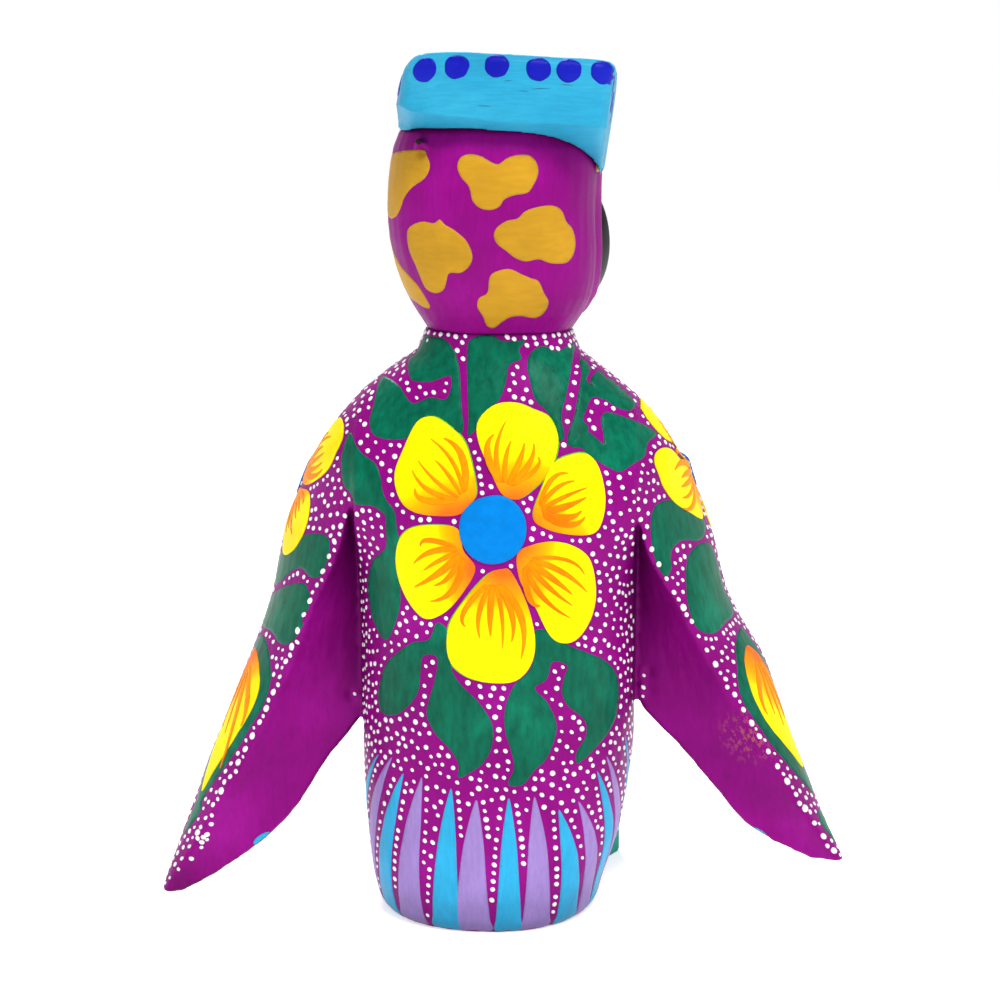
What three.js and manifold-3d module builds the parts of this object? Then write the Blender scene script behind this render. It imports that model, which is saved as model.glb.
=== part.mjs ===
// A small carved and painted wooden owl figure, standing on its tail and two feet.
// Millimetres, +Z up. The owl faces -Y, its left wing is on +X, and the origin is on
// the floor under the middle of the body. Every piece is a separate wooden or steel
// solid: body, head, brow, wings, eyes, beak and feet, with the dowels and brads
// that hold them together.

import * as THREE from "three";
import { mergeVertices } from "three/addons/utils/BufferGeometryUtils.js";
import Module from "manifold-3d";

const wasm = await Module();
wasm.setup();

// ---- driving dimensions -------------------------------------------------------------

const GAP = 0.3;                 // clearance between neighbouring pieces
const ROOT_X = 24;               // half width of the body between its two wing joints
const NECK_Z = 103.3;            // height of the joint between body and head
const HEAD_TURN = 4;             // degrees that the head looks towards its right
const FLOOR_Z = 0;

// Body sections from the base to the neck: height, half width, depth behind the
// axis, depth in front of it, and the sideways lean of the hand-carved shoulder.
const BODY = [
  [0, 18.4, 20.2, 16.2, 1.9],
  [1.6, 19.6, 21.3, 17.4, 1.9],
  [6, 20.7, 22.2, 18.8, 1.8],
  [15, 22.8, 22.8, 20.8, 1.0],
  [26, 23.8, 23.2, 22.4, 0.3],
  [37, 24.4, 23.4, 23.8, 0],
  [50, 24.5, 24.0, 24.6, 0],
  [62, 25.2, 23.7, 24.4, 0],
  [68, 27.6, 23.2, 24.0, 0.2],
  [74, 32.2, 22.0, 23.0, 0.5],
  [79, 33.4, 20.7, 21.6, 0.5],
  [82, 31.8, 19.6, 20.4, 0.5],
  [88.5, 27.4, 16.8, 17.4, 0.5],
  [95, 20.2, 13.9, 14.6, 0.4],
  [97.5, 15.9, 12.7, 13.4, 0.2],
  [100, 13.7, 11.9, 12.5, 0.1],
  [NECK_Z, 12.6, 11.4, 12.0, 0.2],
];
const BODY_ROUND = 2.3;          // superellipse exponent of the body sections

// Head sections: height, half width, depth behind the axis, depth of the face, and
// how far the section sits towards the owl's left.
const HEAD = [
  [NECK_Z + GAP, 12.5, 11.4, 12.4, 0],
  [105.4, 14.2, 13.2, 15.0, -0.2],
  [109, 16.2, 15.2, 18.6, -0.2],
  [114, 17.5, 16.9, 20.6, 0.4],
  [120, 18.1, 17.8, 21.0, 1.1],
  [126, 18.1, 18.0, 20.8, 1.1],
  [132, 17.9, 17.4, 19.6, 0.8],
  [136.5, 16.9, 16.0, 17.6, 0.6],
  [139.5, 14.2, 13.2, 14.2, 0.4],
  [141.2, 9.0, 8.2, 9.0, 0.2],
];
const FACE_X = 0.9;              // middle of the eyes and beak
const HEAD_ROUND = 2.2;
const FACE_ROUND = 3;            // the face is squarer than the back of the head

// Brow sections across the head: half width station, height of the back lower edge,
// height of the front lower edge, top height at the back and at the front, depth
// behind and in front of the axis.
const BROW_HALF = 17.9;
const BROW_SHEAR = -0.14;        // sideways lean of the slab's ends per mm of height
const BROW_X = -0.2;             // the slab sits square to the body, not to the head
const BROW = [
  [-1, 137.6, 131.0, 147.6, 145.5, 16.6, 14.5],
  [-0.93, 138.0, 130.2, 148.4, 146.0, 18.3, 16.8],
  [-0.5, 138.4, 133.6, 149.0, 142.5, 18.8, 20.6],
  [0, 138.8, 126.6, 149.5, 138.5, 19.3, 22.6],
  [0.5, 139.6, 133.6, 150.0, 142.5, 18.6, 20.6],
  [0.82, 140.6, 134.4, 149.6, 146.5, 16.8, 17.0],
  [0.93, 141.4, 137.0, 147.8, 145.6, 15.0, 15.6],
  [1, 141.4, 137.8, 144.8, 143.6, 10.5, 12.5],
];

// Wing stations from the level where the wing leaves the shoulder to its tip: height,
// then the distances from the middle plane of the rear ridge, of the outermost
// surface and of the inner lower edge. The two hand-carved wings are not quite alike.
const WING_LEFT = [
  [79, 24.3, 33.9, 24.3],
  [74, 25.2, 36.0, 24.3],
  [65, 27.8, 39.2, 24.3],
  [55, 32.6, 41.5, 24.3],
  [45, 36.6, 45.0, 24.3],
  [35, 41.0, 49.1, 24.6],
  [26.5, 45.4, 52.4, 31.0],
  [17, 51.0, 56.0, 37.0],
  [10.5, 54.8, 58.2, 43.2],
  [4.5, 58.6, 60.2, 51.8],
  [1.6, 60.0, 61.0, 57.6],
];
const WING_RIGHT = [
  [79, 24.3, 32.9, 24.3],
  [74, 24.8, 34.2, 24.3],
  [65, 27.2, 37.5, 24.3],
  [57, 32.0, 39.8, 24.3],
  [50, 35.6, 43.0, 24.3],
  [43, 39.8, 47.4, 24.3],
  [37, 43.4, 49.8, 25.4],
  [29.5, 48.2, 52.6, 33.0],
  [21.5, 53.2, 56.2, 39.6],
  [14.6, 57.8, 59.5, 46.4],
  [10.2, 60.8, 61.8, 56.0],
];
// Depths along a wing, from the shoulder (0) to the tip (1): rear ridge, front edge,
// rear and front corners of the root, which run into the single lower edge.
const WING_DEPTH = [
  [0, 15.6, -16.2, 15.4, -16.0],
  [0.065, 15.2, -17.6, 10.6, -15.0],
  [0.12, 14.8, -18.0, 8.4, -13.2],
  [0.18, 14.2, -18.0, 7.2, -12.0],
  [0.31, 12.6, -17.6, 5.4, -9.4],
  [0.44, 11.6, -16.2, 4.6, -7.0],
  [0.55, 11.0, -14.2, 4.4, -3.0],
  [0.67, 10.6, -11.4, 4.6, 1.0],
  [0.81, 10.2, -6.8, 5.2, 2.6],
  [0.925, 9.4, -1.0, 6.0, 4.0],
  [1, 8.8, 5.2, 7.6, 6.0],
];
const SHOULDER_TOP = { left: 92.0, right: 91.0 };   // highest points of the wing roots

const EYE_RADIUS = 9.4;
const EYE_TALL = 1.16;           // the eyes are this much taller than they are wide
const EYE_CENTRE = [10.6, -13.9, 117.4];
const EYE_TURN = 44;             // degrees that each eye looks outwards
const EYE_THICK = 4.2;
const EYE_DOME = 1.3;

const DOWEL = { neck: 3, wing: 2, brow: 1.5, beak: 1, foot: 1.25 };   // radii
const BRAD = { shank: 0.6, head: 1.1, headThick: 0.6, long: 9 };

// ---- paint --------------------------------------------------------------------------

const paint = (name, color, roughness = 0.45, metalness = 0) =>
  new THREE.MeshStandardMaterial({ name, color, roughness, metalness });
const PURPLE = 0xa01c96;
const TURQUOISE = 0x46c8eb;
const TEAL = 0x0abea5;
const OCHRE = 0xdea830;
const BLACK = 0x101014;
const BARE_WOOD = 0xcdb184;
const STEEL = 0x6a6468;

// ---- small geometry helpers ---------------------------------------------------------

const radians = THREE.MathUtils.degToRad;

// Smooth interpolation of a table whose first column is the station.
function along(table, at) {
  const rows = table[0][0] < table[table.length - 1][0] ? table : [...table].reverse();
  let i = 0;
  while (i < rows.length - 2 && at > rows[i + 1][0]) i += 1;
  const t = THREE.MathUtils.clamp((at - rows[i][0]) / (rows[i + 1][0] - rows[i][0]), 0, 1);
  const before = rows[Math.max(i - 1, 0)];
  const after = rows[Math.min(i + 2, rows.length - 1)];
  const span = rows[i + 1][0] - rows[i][0];
  return rows[i].map((value, k) => {
    const next = rows[i + 1][k];
    const slopeIn = (next - before[k]) / (rows[i + 1][0] - before[0]);
    const slopeOut = (after[k] - value) / (after[0] - rows[i][0]);
    const h = t * t * (3 - 2 * t);
    return value + (next - value) * h
      + span * slopeIn * (t ** 3 - 2 * t * t + t) + span * slopeOut * (t ** 3 - t * t);
  });
}

// A closed solid through rings that all have the same number of points.
function loft(rings) {
  const count = rings[0].length;
  const points = rings.flat();
  const faces = [];
  for (let r = 0; r < rings.length - 1; r += 1) {
    for (let k = 0; k < count; k += 1) {
      const a = r * count + k;
      const b = r * count + ((k + 1) % count);
      faces.push(a, b, b + count, a, b + count, a + count);
    }
  }
  for (const [ring, start, flip] of [[rings[0], 0, true],
    [rings[rings.length - 1], (rings.length - 1) * count, false]]) {
    const middle = new THREE.Vector3();
    ring.forEach((p) => middle.addScaledVector(p, 1 / count));
    points.push(middle);
    const hub = points.length - 1;
    for (let k = 0; k < count; k += 1) {
      const a = start + k;
      const b = start + ((k + 1) % count);
      faces.push(hub, flip ? b : a, flip ? a : b);
    }
  }
  const geometry = new THREE.BufferGeometry().setFromPoints(points);
  geometry.setIndex(faces);
  return geometry;
}

// One superellipse section: half width a, depth behind and in front of the axis.
function oval(z, a, back, front, cx, count, round, roundFront = round) {
  return Array.from({ length: count }, (_, k) => {
    const angle = (2 * Math.PI * k) / count;
    const c = Math.cos(angle);
    const s = Math.sin(angle);
    const power = 2 / (s < 0 ? roundFront : round);
    const x = cx + a * Math.sign(c) * Math.abs(c) ** power;
    const y = (s < 0 ? front : back) * Math.sign(s) * Math.abs(s) ** power;
    return new THREE.Vector3(x, y, z);
  });
}

const levels = (low, high, count) =>
  Array.from({ length: count + 1 }, (_, i) => low + ((high - low) * i) / count);

function toSolid(geometry) {
  const plain = geometry.clone();
  plain.deleteAttribute("normal");
  plain.deleteAttribute("uv");
  const merged = mergeVertices(plain, 1e-4);
  return new wasm.Manifold(new wasm.Mesh({
    numProp: 3,
    vertProperties: new Float32Array(merged.attributes.position.array),
    triVerts: new Uint32Array(merged.index.array),
  }));
}

function toGeometry(solid) {
  const mesh = solid.getMesh();
  const geometry = new THREE.BufferGeometry();
  geometry.setAttribute("position", new THREE.BufferAttribute(mesh.vertProperties, 3));
  geometry.setIndex(new THREE.BufferAttribute(mesh.triVerts, 1));
  geometry.computeVertexNormals();
  return geometry;
}

// A solid box between two corners.
function block(low, high) {
  const size = high.map((v, i) => v - low[i]);
  const box = new THREE.BoxGeometry(...size);
  box.translate(...low.map((v, i) => v + size[i] / 2));
  return box;
}

// A round pin between two points, grown by extra all over.
function pin(radius, from, to, extra = 0, sides = 16) {
  const a = new THREE.Vector3(...from);
  const b = new THREE.Vector3(...to);
  const axis = b.clone().sub(a);
  const long = axis.length() + 2 * extra;
  const rod = new THREE.CylinderGeometry(radius + extra, radius + extra, long, sides);
  const turn = new THREE.Quaternion().setFromUnitVectors(
    new THREE.Vector3(0, 1, 0), axis.normalize());
  rod.applyQuaternion(turn);
  rod.translate(...a.add(b).multiplyScalar(0.5).toArray());
  return rod;
}

// ---- body and head ------------------------------------------------------------------

const BODY_SIDES = 44;
const HEAD_SIDES = 36;

function bodyLoft(extra = 0) {
  const rows = [0, 1.6, ...levels(6, NECK_Z, 24)];
  const solid = loft(rows.map((z) => {
    const [, a, back, front, lean] = along(BODY, z);
    return oval(z, a + extra, back + extra, front + extra, lean, BODY_SIDES, BODY_ROUND);
  }));
  return toSolid(solid);
}

function headLoft(extra = 0) {
  const low = HEAD[0][0];
  const high = HEAD[HEAD.length - 1][0];
  const solid = loft([...levels(low, 139.5, 14), high].map((z) => {
    const [, a, back, front, cx] = along(HEAD, z);
    const rise = z === low ? 0 : extra;
    return oval(z + rise, a + extra, back + extra, front + extra, cx,
      HEAD_SIDES, HEAD_ROUND, FACE_ROUND);
  }));
  solid.rotateZ(radians(-HEAD_TURN));
  return toSolid(solid);
}

// ---- brow: the turquoise slab on top of the head --------------------------------------

function browLoft() {
  const stations = [-1, -0.95, -0.9, -0.8, ...levels(-0.7, 0.7, 14), 0.8, 0.84, 0.89, 0.94,
    0.97, 1];
  const rings = stations.map((s) => {
    const [, backLow, frontLow, top, frontTop, back, front] = along(BROW, s);
    const x = BROW_X + s * BROW_HALF;
    const peak = -0.7 * (1 - s * s);                 // the front point follows the face
    const slope = 0.6;           // the back face leans in a little towards its top
    return [
      [back, backLow], [back - slope, top - 1], [back - slope - 1, top],
      [2, top - (top - frontTop) * 0.3], [-front + 2, frontTop], [-front, frontTop - 2],
      [-front - 0.6, (frontTop + frontLow) / 2], [-front, frontLow],
      [-front + 6, frontLow - 1], [0, 128], [back - 6, backLow - 3],
    ].map(([y, z]) => new THREE.Vector3(
      x + BROW_SHEAR * (z - 134) + peak * THREE.MathUtils.clamp(-y / 18, 0, 1), y, z));
  });
  return toSolid(loft(rings));
}

// ---- wings ----------------------------------------------------------------------------

const bezier = (a, c, b, t) =>
  a.clone().multiplyScalar((1 - t) ** 2)
    .addScaledVector(c, 2 * t * (1 - t)).addScaledVector(b, t * t);

// One horizontal section through a wing: rear face, convex outer face, hollow front
// face and root. The four corners are the rear ridge, the front edge and the two
// root corners.
function wingRing(z, ridge, front, rootFront, rootRear, outer) {
  const ring = [];
  const flat = (p) => new THREE.Vector3(p.x, p.y, z);
  const bulge = new THREE.Vector2((4 * outer - ridge.x - front.x) / 2,
    (ridge.y + front.y) / 2);
  const cup = rootFront.clone().add(front).multiplyScalar(0.5)
    .add(new THREE.Vector2(-0.02, 0.14).multiplyScalar(front.distanceTo(rootFront)));
  const dish = rootRear.clone().add(ridge).multiplyScalar(0.5)
    .add(new THREE.Vector2(0.02, -0.1).multiplyScalar(ridge.distanceTo(rootRear)));
  for (let i = 0; i < 12; i += 1) ring.push(flat(bezier(front, bulge, ridge, i / 12)));
  for (let i = 0; i < 5; i += 1) ring.push(flat(bezier(ridge, dish, rootRear, i / 5)));
  for (let i = 0; i < 3; i += 1) ring.push(flat(rootRear.clone().lerp(rootFront, i / 3)));
  for (let i = 0; i < 6; i += 1) ring.push(flat(bezier(rootFront, cup, front, i / 6)));
  return ring;
}

function wingLoft(table, lean, top) {
  const shoulderZ = table[0][0];
  const tipZ = table[table.length - 1][0];
  const rings = [];
  for (const z of levels(tipZ, shoulderZ, 24)) {
    const [, ridgeX, outerX, edgeX] = along(table, z);
    const [, ridgeY, frontY, rearY, innerY] =
      along(WING_DEPTH, (shoulderZ - z) / (shoulderZ - tipZ));
    rings.push(wingRing(z, new THREE.Vector2(ridgeX, ridgeY),
      new THREE.Vector2(outerX - 1.2, frontY), new THREE.Vector2(edgeX, innerY),
      new THREE.Vector2(edgeX, rearY), outerX));
  }
  // Above the shoulder level the wing is the cap of the rounded shoulder.
  const start = along(table, shoulderZ)[2];
  for (const z of levels(shoulderZ + 3, top, 5)) {
    const [, a, back, front, cx] = along(BODY, z);
    const [, a0, , , cx0] = along(BODY, shoulderZ);
    const outer = Math.max(a + cx * lean + (start - a0 - cx0 * lean)
      * (top - z) / (top - shoulderZ), ROOT_X + GAP + 0.4);
    const half = (ROOT_X + GAP - cx * lean) / a;
    const depth = (1 - Math.min(half, 0.99) ** BODY_ROUND) ** (1 / BODY_ROUND);
    const rear = new THREE.Vector2(ROOT_X + GAP, Math.max(back * depth, 1.5));
    const fore = new THREE.Vector2(ROOT_X + GAP, -Math.max(front * depth, 1.5));
    rings.push(wingRing(z, rear, fore, fore.clone(), rear.clone(), outer));
  }
  return rings;
}

function wing(side, table, top) {
  const rings = wingLoft(table, side, top).map((ring) => {
    const placed = ring.map((p) => new THREE.Vector3(side * p.x, p.y, p.z));
    return side < 0 ? placed.reverse() : placed;
  });
  const outside = block([-80, -60, -5], [80, 60, 100]);
  const keep = toSolid(outside).subtract(
    toSolid(block([-ROOT_X - GAP, -61, -6], [ROOT_X + GAP, 61, 101])));
  return toSolid(loft(rings)).intersect(keep);
}

// ---- eyes, beak and feet ----------------------------------------------------------------

const turnHead = (geometry) => geometry.rotateZ(radians(-HEAD_TURN));

function placeEye(geometry, side) {
  geometry.rotateX(Math.PI);                         // the disc now faces -Y
  geometry.scale(1, 1, EYE_TALL);
  geometry.rotateZ(radians(side * EYE_TURN));
  geometry.translate(side * EYE_CENTRE[0] + FACE_X, EYE_CENTRE[1], EYE_CENTRE[2]);
  return turnHead(geometry);
}

// A thick disc with a slightly domed front, turned on its own axis.
function eyeDisc(side) {
  const edge = EYE_THICK - EYE_DOME;
  const profile = [new THREE.Vector2(0, 0), new THREE.Vector2(EYE_RADIUS, 0),
    new THREE.Vector2(EYE_RADIUS, edge - 0.5)];
  for (let i = 1; i <= 4; i += 1) {
    const r = EYE_RADIUS * Math.cos((i / 4) * (Math.PI / 2));
    profile.push(new THREE.Vector2(i === 4 ? 0 : r,
      edge - 0.5 + (EYE_DOME + 0.5) * Math.sin((i / 4) * (Math.PI / 2))));
  }
  return toSolid(placeEye(new THREE.LatheGeometry(profile, 32), side));
}

function eyeSeat(side) {
  const seat = new THREE.CylinderGeometry(EYE_RADIUS + GAP, EYE_RADIUS + GAP, 20, 36);
  seat.translate(0, 10 - GAP, 0);
  return toSolid(placeEye(seat, side));
}

// The hooked beak: oval rings that shrink along a downward curve.
function beakLoft() {
  const rows = [[-16, 114.6, 3.6, 4.4, 0], [-22.6, 114.4, 3.3, 4.0, 20],
    [-26.4, 112.0, 2.4, 3.0, 55], [-27.8, 108.8, 1.3, 1.8, 80], [-27.4, 106.4, 0.4, 0.6, 95]];
  const rings = rows.map(([y, z, wide, tall, dip]) => {
    const tilt = radians(dip);
    return Array.from({ length: 14 }, (_, k) => {
      const angle = (2 * Math.PI * k) / 14;
      const up = tall * Math.sin(angle);
      return new THREE.Vector3(FACE_X + wide * Math.cos(angle),
        y - up * Math.sin(tilt), z + up * Math.cos(tilt));
    });
  });
  return toSolid(turnHead(loft(rings)));
}

// Plan of one foot, toes towards -Y: a narrow heel and three rounded toes.
function footPlan() {
  const plan = new THREE.Shape();
  plan.moveTo(-3.2, -10);
  plan.lineTo(3.2, -10);
  plan.lineTo(4.4, -18);
  plan.lineTo(6.6, -24);
  plan.absarc(5.2, -27.4, 2.3, 0.4, -Math.PI + 0.5, true);
  plan.lineTo(2.4, -25.6);
  plan.absarc(0, -30.2, 2.4, 0.2, -Math.PI - 0.2, true);
  plan.lineTo(-2.4, -25.6);
  plan.absarc(-5.2, -27.4, 2.3, -0.5, -Math.PI - 0.4, true);
  plan.lineTo(-6.6, -24);
  plan.lineTo(-4.4, -18);
  return plan;
}

// Side view of a foot: a shank that slopes down to the toes.
function footSide() {
  const side = new THREE.Shape();
  side.moveTo(6, 0);
  side.lineTo(34, 0);
  side.lineTo(34, 2.2);
  side.quadraticCurveTo(31, 6.2, 27, 7.4);
  side.quadraticCurveTo(22.6, 10.2, 21.6, 15.2);
  side.lineTo(6, 15.2);
  return side;
}

const FOOT_X = 7.6;
const FOOT_TURN = 13;            // degrees that the toes point outwards

function foot(side) {
  const plan = new THREE.ExtrudeGeometry(footPlan(),
    { depth: 20, bevelEnabled: false, curveSegments: 5 });
  const profile = new THREE.ExtrudeGeometry(footSide(),
    { depth: 30, bevelEnabled: false, curveSegments: 4 });
  profile.translate(0, 0, -15);
  profile.rotateX(Math.PI / 2);                      // heights now run along Z
  profile.rotateZ(-Math.PI / 2);                     // lengths now run along -Y
  const solid = toGeometry(toSolid(plan).intersect(toSolid(profile)));
  solid.rotateZ(radians(side * FOOT_TURN));
  solid.translate(side * FOOT_X, 0, FLOOR_Z);
  return toSolid(solid);
}

// ---- dowels, pegs and brads -----------------------------------------------------------

const turned = ([x, y, z]) => new THREE.Vector3(x, y, z)
  .applyAxisAngle(new THREE.Vector3(0, 0, 1), radians(-HEAD_TURN)).toArray();

const DOWELS = {
  neck_dowel: [DOWEL.neck, [0, 0, 91], [0, 0, 117]],
  wing_dowel_left_upper: [DOWEL.wing, [14, 0, 80], [28.8, 0, 80]],
  wing_dowel_left_lower: [DOWEL.wing, [12, -2, 58], [33, -2, 58]],
  wing_dowel_right_upper: [DOWEL.wing, [-14, 0, 80], [-28.0, 0, 80]],
  wing_dowel_right_lower: [DOWEL.wing, [-12, -2, 58], [-33, -2, 58]],
  brow_dowel_left: [DOWEL.brow, turned([8, 5, 131]), turned([8, 5, 144.5])],
  brow_dowel_right: [DOWEL.brow, turned([-8, 5, 131]), turned([-8, 5, 144.5])],
  beak_peg: [DOWEL.beak, turned([FACE_X, -12, 114.4]), turned([FACE_X, -23, 114.4])],
  foot_peg_left: [DOWEL.foot, [11, -8, 8], [14, -20.5, 8]],
  foot_peg_right: [DOWEL.foot, [-11, -8, 8], [-14, -20.5, 8]],
};

// Brads: the middle of the head's outer face, and the direction the shank is driven.
const BRADS = {
  brad_left: [[25.6, 4.7, 37.8], [-0.55, -0.84, 0]],
  brad_right_upper: [[-25.9, 4.85, 42.8], [0.55, -0.84, 0]],
  brad_right_lower: [[-25.9, 4.8, 39.4], [0.55, -0.84, 0]],
  brad_brow: [[12.4, 13.2, 134.6], [-0.2, -0.7, 0.68]],
};

// A brad with its head flush with the surface; grown by extra it is the hole.
function brad(place, way, extra = 0) {
  const down = new THREE.Vector3(...way).normalize();
  const at = (depth) => new THREE.Vector3(...place).addScaledVector(down, depth).toArray();
  const top = extra > 0 ? -4 : 0;
  const shank = pin(BRAD.shank, at(0.2), at(BRAD.long), extra, 10);
  const head = pin(BRAD.head + extra, at(top), at(BRAD.headThick + extra), 0, 12);
  return toSolid(shank).add(toSolid(head));
}

// ---- assembly ---------------------------------------------------------------------------

const hole = (name) => {
  const [radius, from, to] = DOWELS[name];
  return toSolid(pin(radius, from, to, GAP));
};
const bradHole = (name) => brad(...BRADS[name], GAP);
const drill = (solid, holes) => holes.reduce((rest, cutter) => rest.subtract(cutter), solid);

function makeBody() {
  const between = toSolid(block([-ROOT_X, -60, FLOOR_Z - 1], [ROOT_X, 60, 200]));
  return drill(bodyLoft().intersect(between), [
    hole("neck_dowel"), hole("wing_dowel_left_upper"), hole("wing_dowel_left_lower"),
    hole("wing_dowel_right_upper"), hole("wing_dowel_right_lower"),
    hole("foot_peg_left"), hole("foot_peg_right"), bradHole("brad_left"),
    bradHole("brad_right_upper"), bradHole("brad_right_lower"),
  ]);
}

function makeHead() {
  return drill(headLoft(), [
    eyeSeat(1), eyeSeat(-1), hole("neck_dowel"), hole("brow_dowel_left"),
    hole("brow_dowel_right"), hole("beak_peg"), bradHole("brad_brow"),
  ]);
}

function makeBrow() {
  return drill(browLoft(), [headLoft(GAP), eyeSeat(1), eyeSeat(-1),
    hole("brow_dowel_left"), hole("brow_dowel_right"), bradHole("brad_brow")]);
}

const makeWing = (side, table, top, holes) => drill(wing(side, table, top), holes);

const makeFoot = (side, name) =>
  drill(foot(side), [bodyLoft(GAP), hole(name)]);

const makeBeak = () =>
  drill(beakLoft(), [headLoft(GAP), eyeSeat(1), eyeSeat(-1), hole("beak_peg")]);

const owl = new THREE.Group();
owl.name = "owl_figure";

function place(name, solid, material) {
  const mesh = new THREE.Mesh(toGeometry(solid), material);
  mesh.name = name;
  owl.add(mesh);
}

place("body", makeBody(), paint("purple_paint", PURPLE));
place("head", makeHead(), paint("head_paint", PURPLE));
place("brow", makeBrow(), paint("turquoise_paint", TURQUOISE));
place("wing_left", makeWing(1, WING_LEFT, SHOULDER_TOP.left, [
  hole("wing_dowel_left_upper"), hole("wing_dowel_left_lower"), bradHole("brad_left"),
]), paint("wing_paint", PURPLE));
place("wing_right", makeWing(-1, WING_RIGHT, SHOULDER_TOP.right, [
  hole("wing_dowel_right_upper"), hole("wing_dowel_right_lower"),
  bradHole("brad_right_upper"), bradHole("brad_right_lower"),
]), paint("wing_paint_right", PURPLE));
place("eye_left", eyeDisc(1), paint("eye_paint", BLACK, 0.2));
place("eye_right", eyeDisc(-1), paint("eye_paint_right", BLACK, 0.2));
place("beak", makeBeak(), paint("ochre_paint", OCHRE));
place("foot_left", makeFoot(1, "foot_peg_left"), paint("teal_paint", TEAL));
place("foot_right", makeFoot(-1, "foot_peg_right"), paint("teal_paint_right", TEAL));
for (const [name, [radius, from, to]] of Object.entries(DOWELS)) {
  place(name, toSolid(pin(radius, from, to)), paint("bare_wood", BARE_WOOD, 0.8));
}
for (const [name, [at, way]] of Object.entries(BRADS)) {
  place(name, brad(at, way), paint("steel", STEEL, 0.4, 0.9));
}

export default owl;
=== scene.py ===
"""Looks of a small carved and painted wooden owl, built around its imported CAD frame.

Lengths in this script are millimetres in the CAD frame (the owl faces -Y, +Z is up)
until a mesh is made, when they become metres. Wood skins are made from the CAD solids,
and every painted leaf, petal, stroke and dot is a thin film of its own on that skin.
"""

import math
import random

import bmesh
import bpy
import numpy as np
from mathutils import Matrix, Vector, noise
from mathutils.bvhtree import BVHTree
from mathutils.geometry import delaunay_2d_cdt
from mathutils.kdtree import KDTree


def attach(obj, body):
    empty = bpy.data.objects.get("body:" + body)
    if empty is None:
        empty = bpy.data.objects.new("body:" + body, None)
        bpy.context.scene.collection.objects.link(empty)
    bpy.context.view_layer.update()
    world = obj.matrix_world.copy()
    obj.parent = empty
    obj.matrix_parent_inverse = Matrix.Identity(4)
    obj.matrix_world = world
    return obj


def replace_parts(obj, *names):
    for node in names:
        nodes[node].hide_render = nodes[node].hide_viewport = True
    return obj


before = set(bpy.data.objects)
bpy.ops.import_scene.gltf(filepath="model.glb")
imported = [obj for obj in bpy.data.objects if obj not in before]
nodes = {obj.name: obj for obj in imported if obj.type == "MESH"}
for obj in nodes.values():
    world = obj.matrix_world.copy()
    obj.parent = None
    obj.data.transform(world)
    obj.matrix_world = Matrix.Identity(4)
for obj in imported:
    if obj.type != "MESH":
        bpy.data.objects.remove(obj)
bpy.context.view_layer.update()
MM = 0.001

# ---- driving values -------------------------------------------------------------------

ROOT_X = 24.15          # seam between the body and each wing
HEAD_TURN = 4           # degrees that the head looks towards its right
FACE_X = 0.9            # middle of the face
EYE_CENTRE = (10.6, -13.9, 117.4)
EYE_RADIUS = 9.4
EYE_TALL = 1.16
EYE_TURN = 44           # degrees that each eye looks outwards
BODY_VOXEL = 0.5        # grain of the body and wing skins
SMALL_VOXEL = 0.32      # grain of the smaller skins
PAINT = 0.07            # thickness of a painted film
STEP = 0.5              # spacing of a film's points
FINE_STEP = 0.32        # the same on petals, which hold the brushed orange
LONGEST = 2.6           # a film's triangle longer than this would bridge a gap
GRAZING = 0.06          # paint doesn't land where the skin is more edge-on than this
SUNK = 0.12             # how far a film's underside lies in the wood
SOFT_EDGE = 0.4         # how far in from its rim a film reaches its full thickness
ON_LEAF = 0.09          # lift of paint laid over a leaf
ON_PETAL = 0.24         # lift of strokes laid over a petal
DOT = 0.48              # radius of a white dot

random.seed(7)

# ---- camera and light -------------------------------------------------------------------

CAMERA_AZIMUTH = 184
CAMERA_DISTANCE = 400
CAMERA_HEIGHT = 143.1
CAMERA_PITCH = 10
FOCAL = 82.8


def add_camera():
    data = bpy.data.cameras.new("camera")
    data.lens = FOCAL
    data.clip_start = 0.01
    camera = bpy.data.objects.new("camera", data)
    bpy.context.scene.collection.objects.link(camera)
    azimuth = math.radians(CAMERA_AZIMUTH)
    camera.location = (math.sin(azimuth) * CAMERA_DISTANCE * MM,
                       -math.cos(azimuth) * CAMERA_DISTANCE * MM, CAMERA_HEIGHT * MM)
    camera.rotation_euler = (math.radians(90 - CAMERA_PITCH), 0, azimuth)
    bpy.context.scene.camera = camera


def area_light(name, place, target, size, watts):
    data = bpy.data.lights.new(name, "AREA")
    data.shape = "DISK"
    data.size = size
    data.energy = watts
    lamp = bpy.data.objects.new(name, data)
    lamp.location = place
    aim = Vector(target) - Vector(place)
    lamp.rotation_euler = aim.to_track_quat("-Z", "Y").to_euler()
    bpy.context.scene.collection.objects.link(lamp)


def add_light():
    scene = bpy.context.scene
    scene.view_settings.view_transform = "Standard"
    world = bpy.data.worlds.new("studio")
    world.use_nodes = True
    tree = world.node_tree
    where = new_node(tree, "ShaderNodeTexCoord")
    split = new_node(tree, "ShaderNodeSeparateXYZ")
    tree.links.new(where.outputs["Generated"], split.inputs["Vector"])
    walls = ramp(tree, split.outputs["Z"], [(0.0, (1.0,) * 3), (0.12, (1.0,) * 3),
                                            (0.4, (0.42,) * 3)])
    tree.links.new(walls, tree.nodes["Background"].inputs["Color"])
    scene.world = world
    middle = (0, 0, 0.08)
    area_light("key", (-0.14, 0.30, 0.66), middle, 0.26, 3.6)
    area_light("front", (0.15, -0.5, 0.55), middle, 0.3, 2.6)


# ---- materials --------------------------------------------------------------------------


def new_node(tree, kind, **values):
    node = tree.nodes.new(kind)
    for key, value in values.items():
        setattr(node, key, value)
    return node


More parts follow.
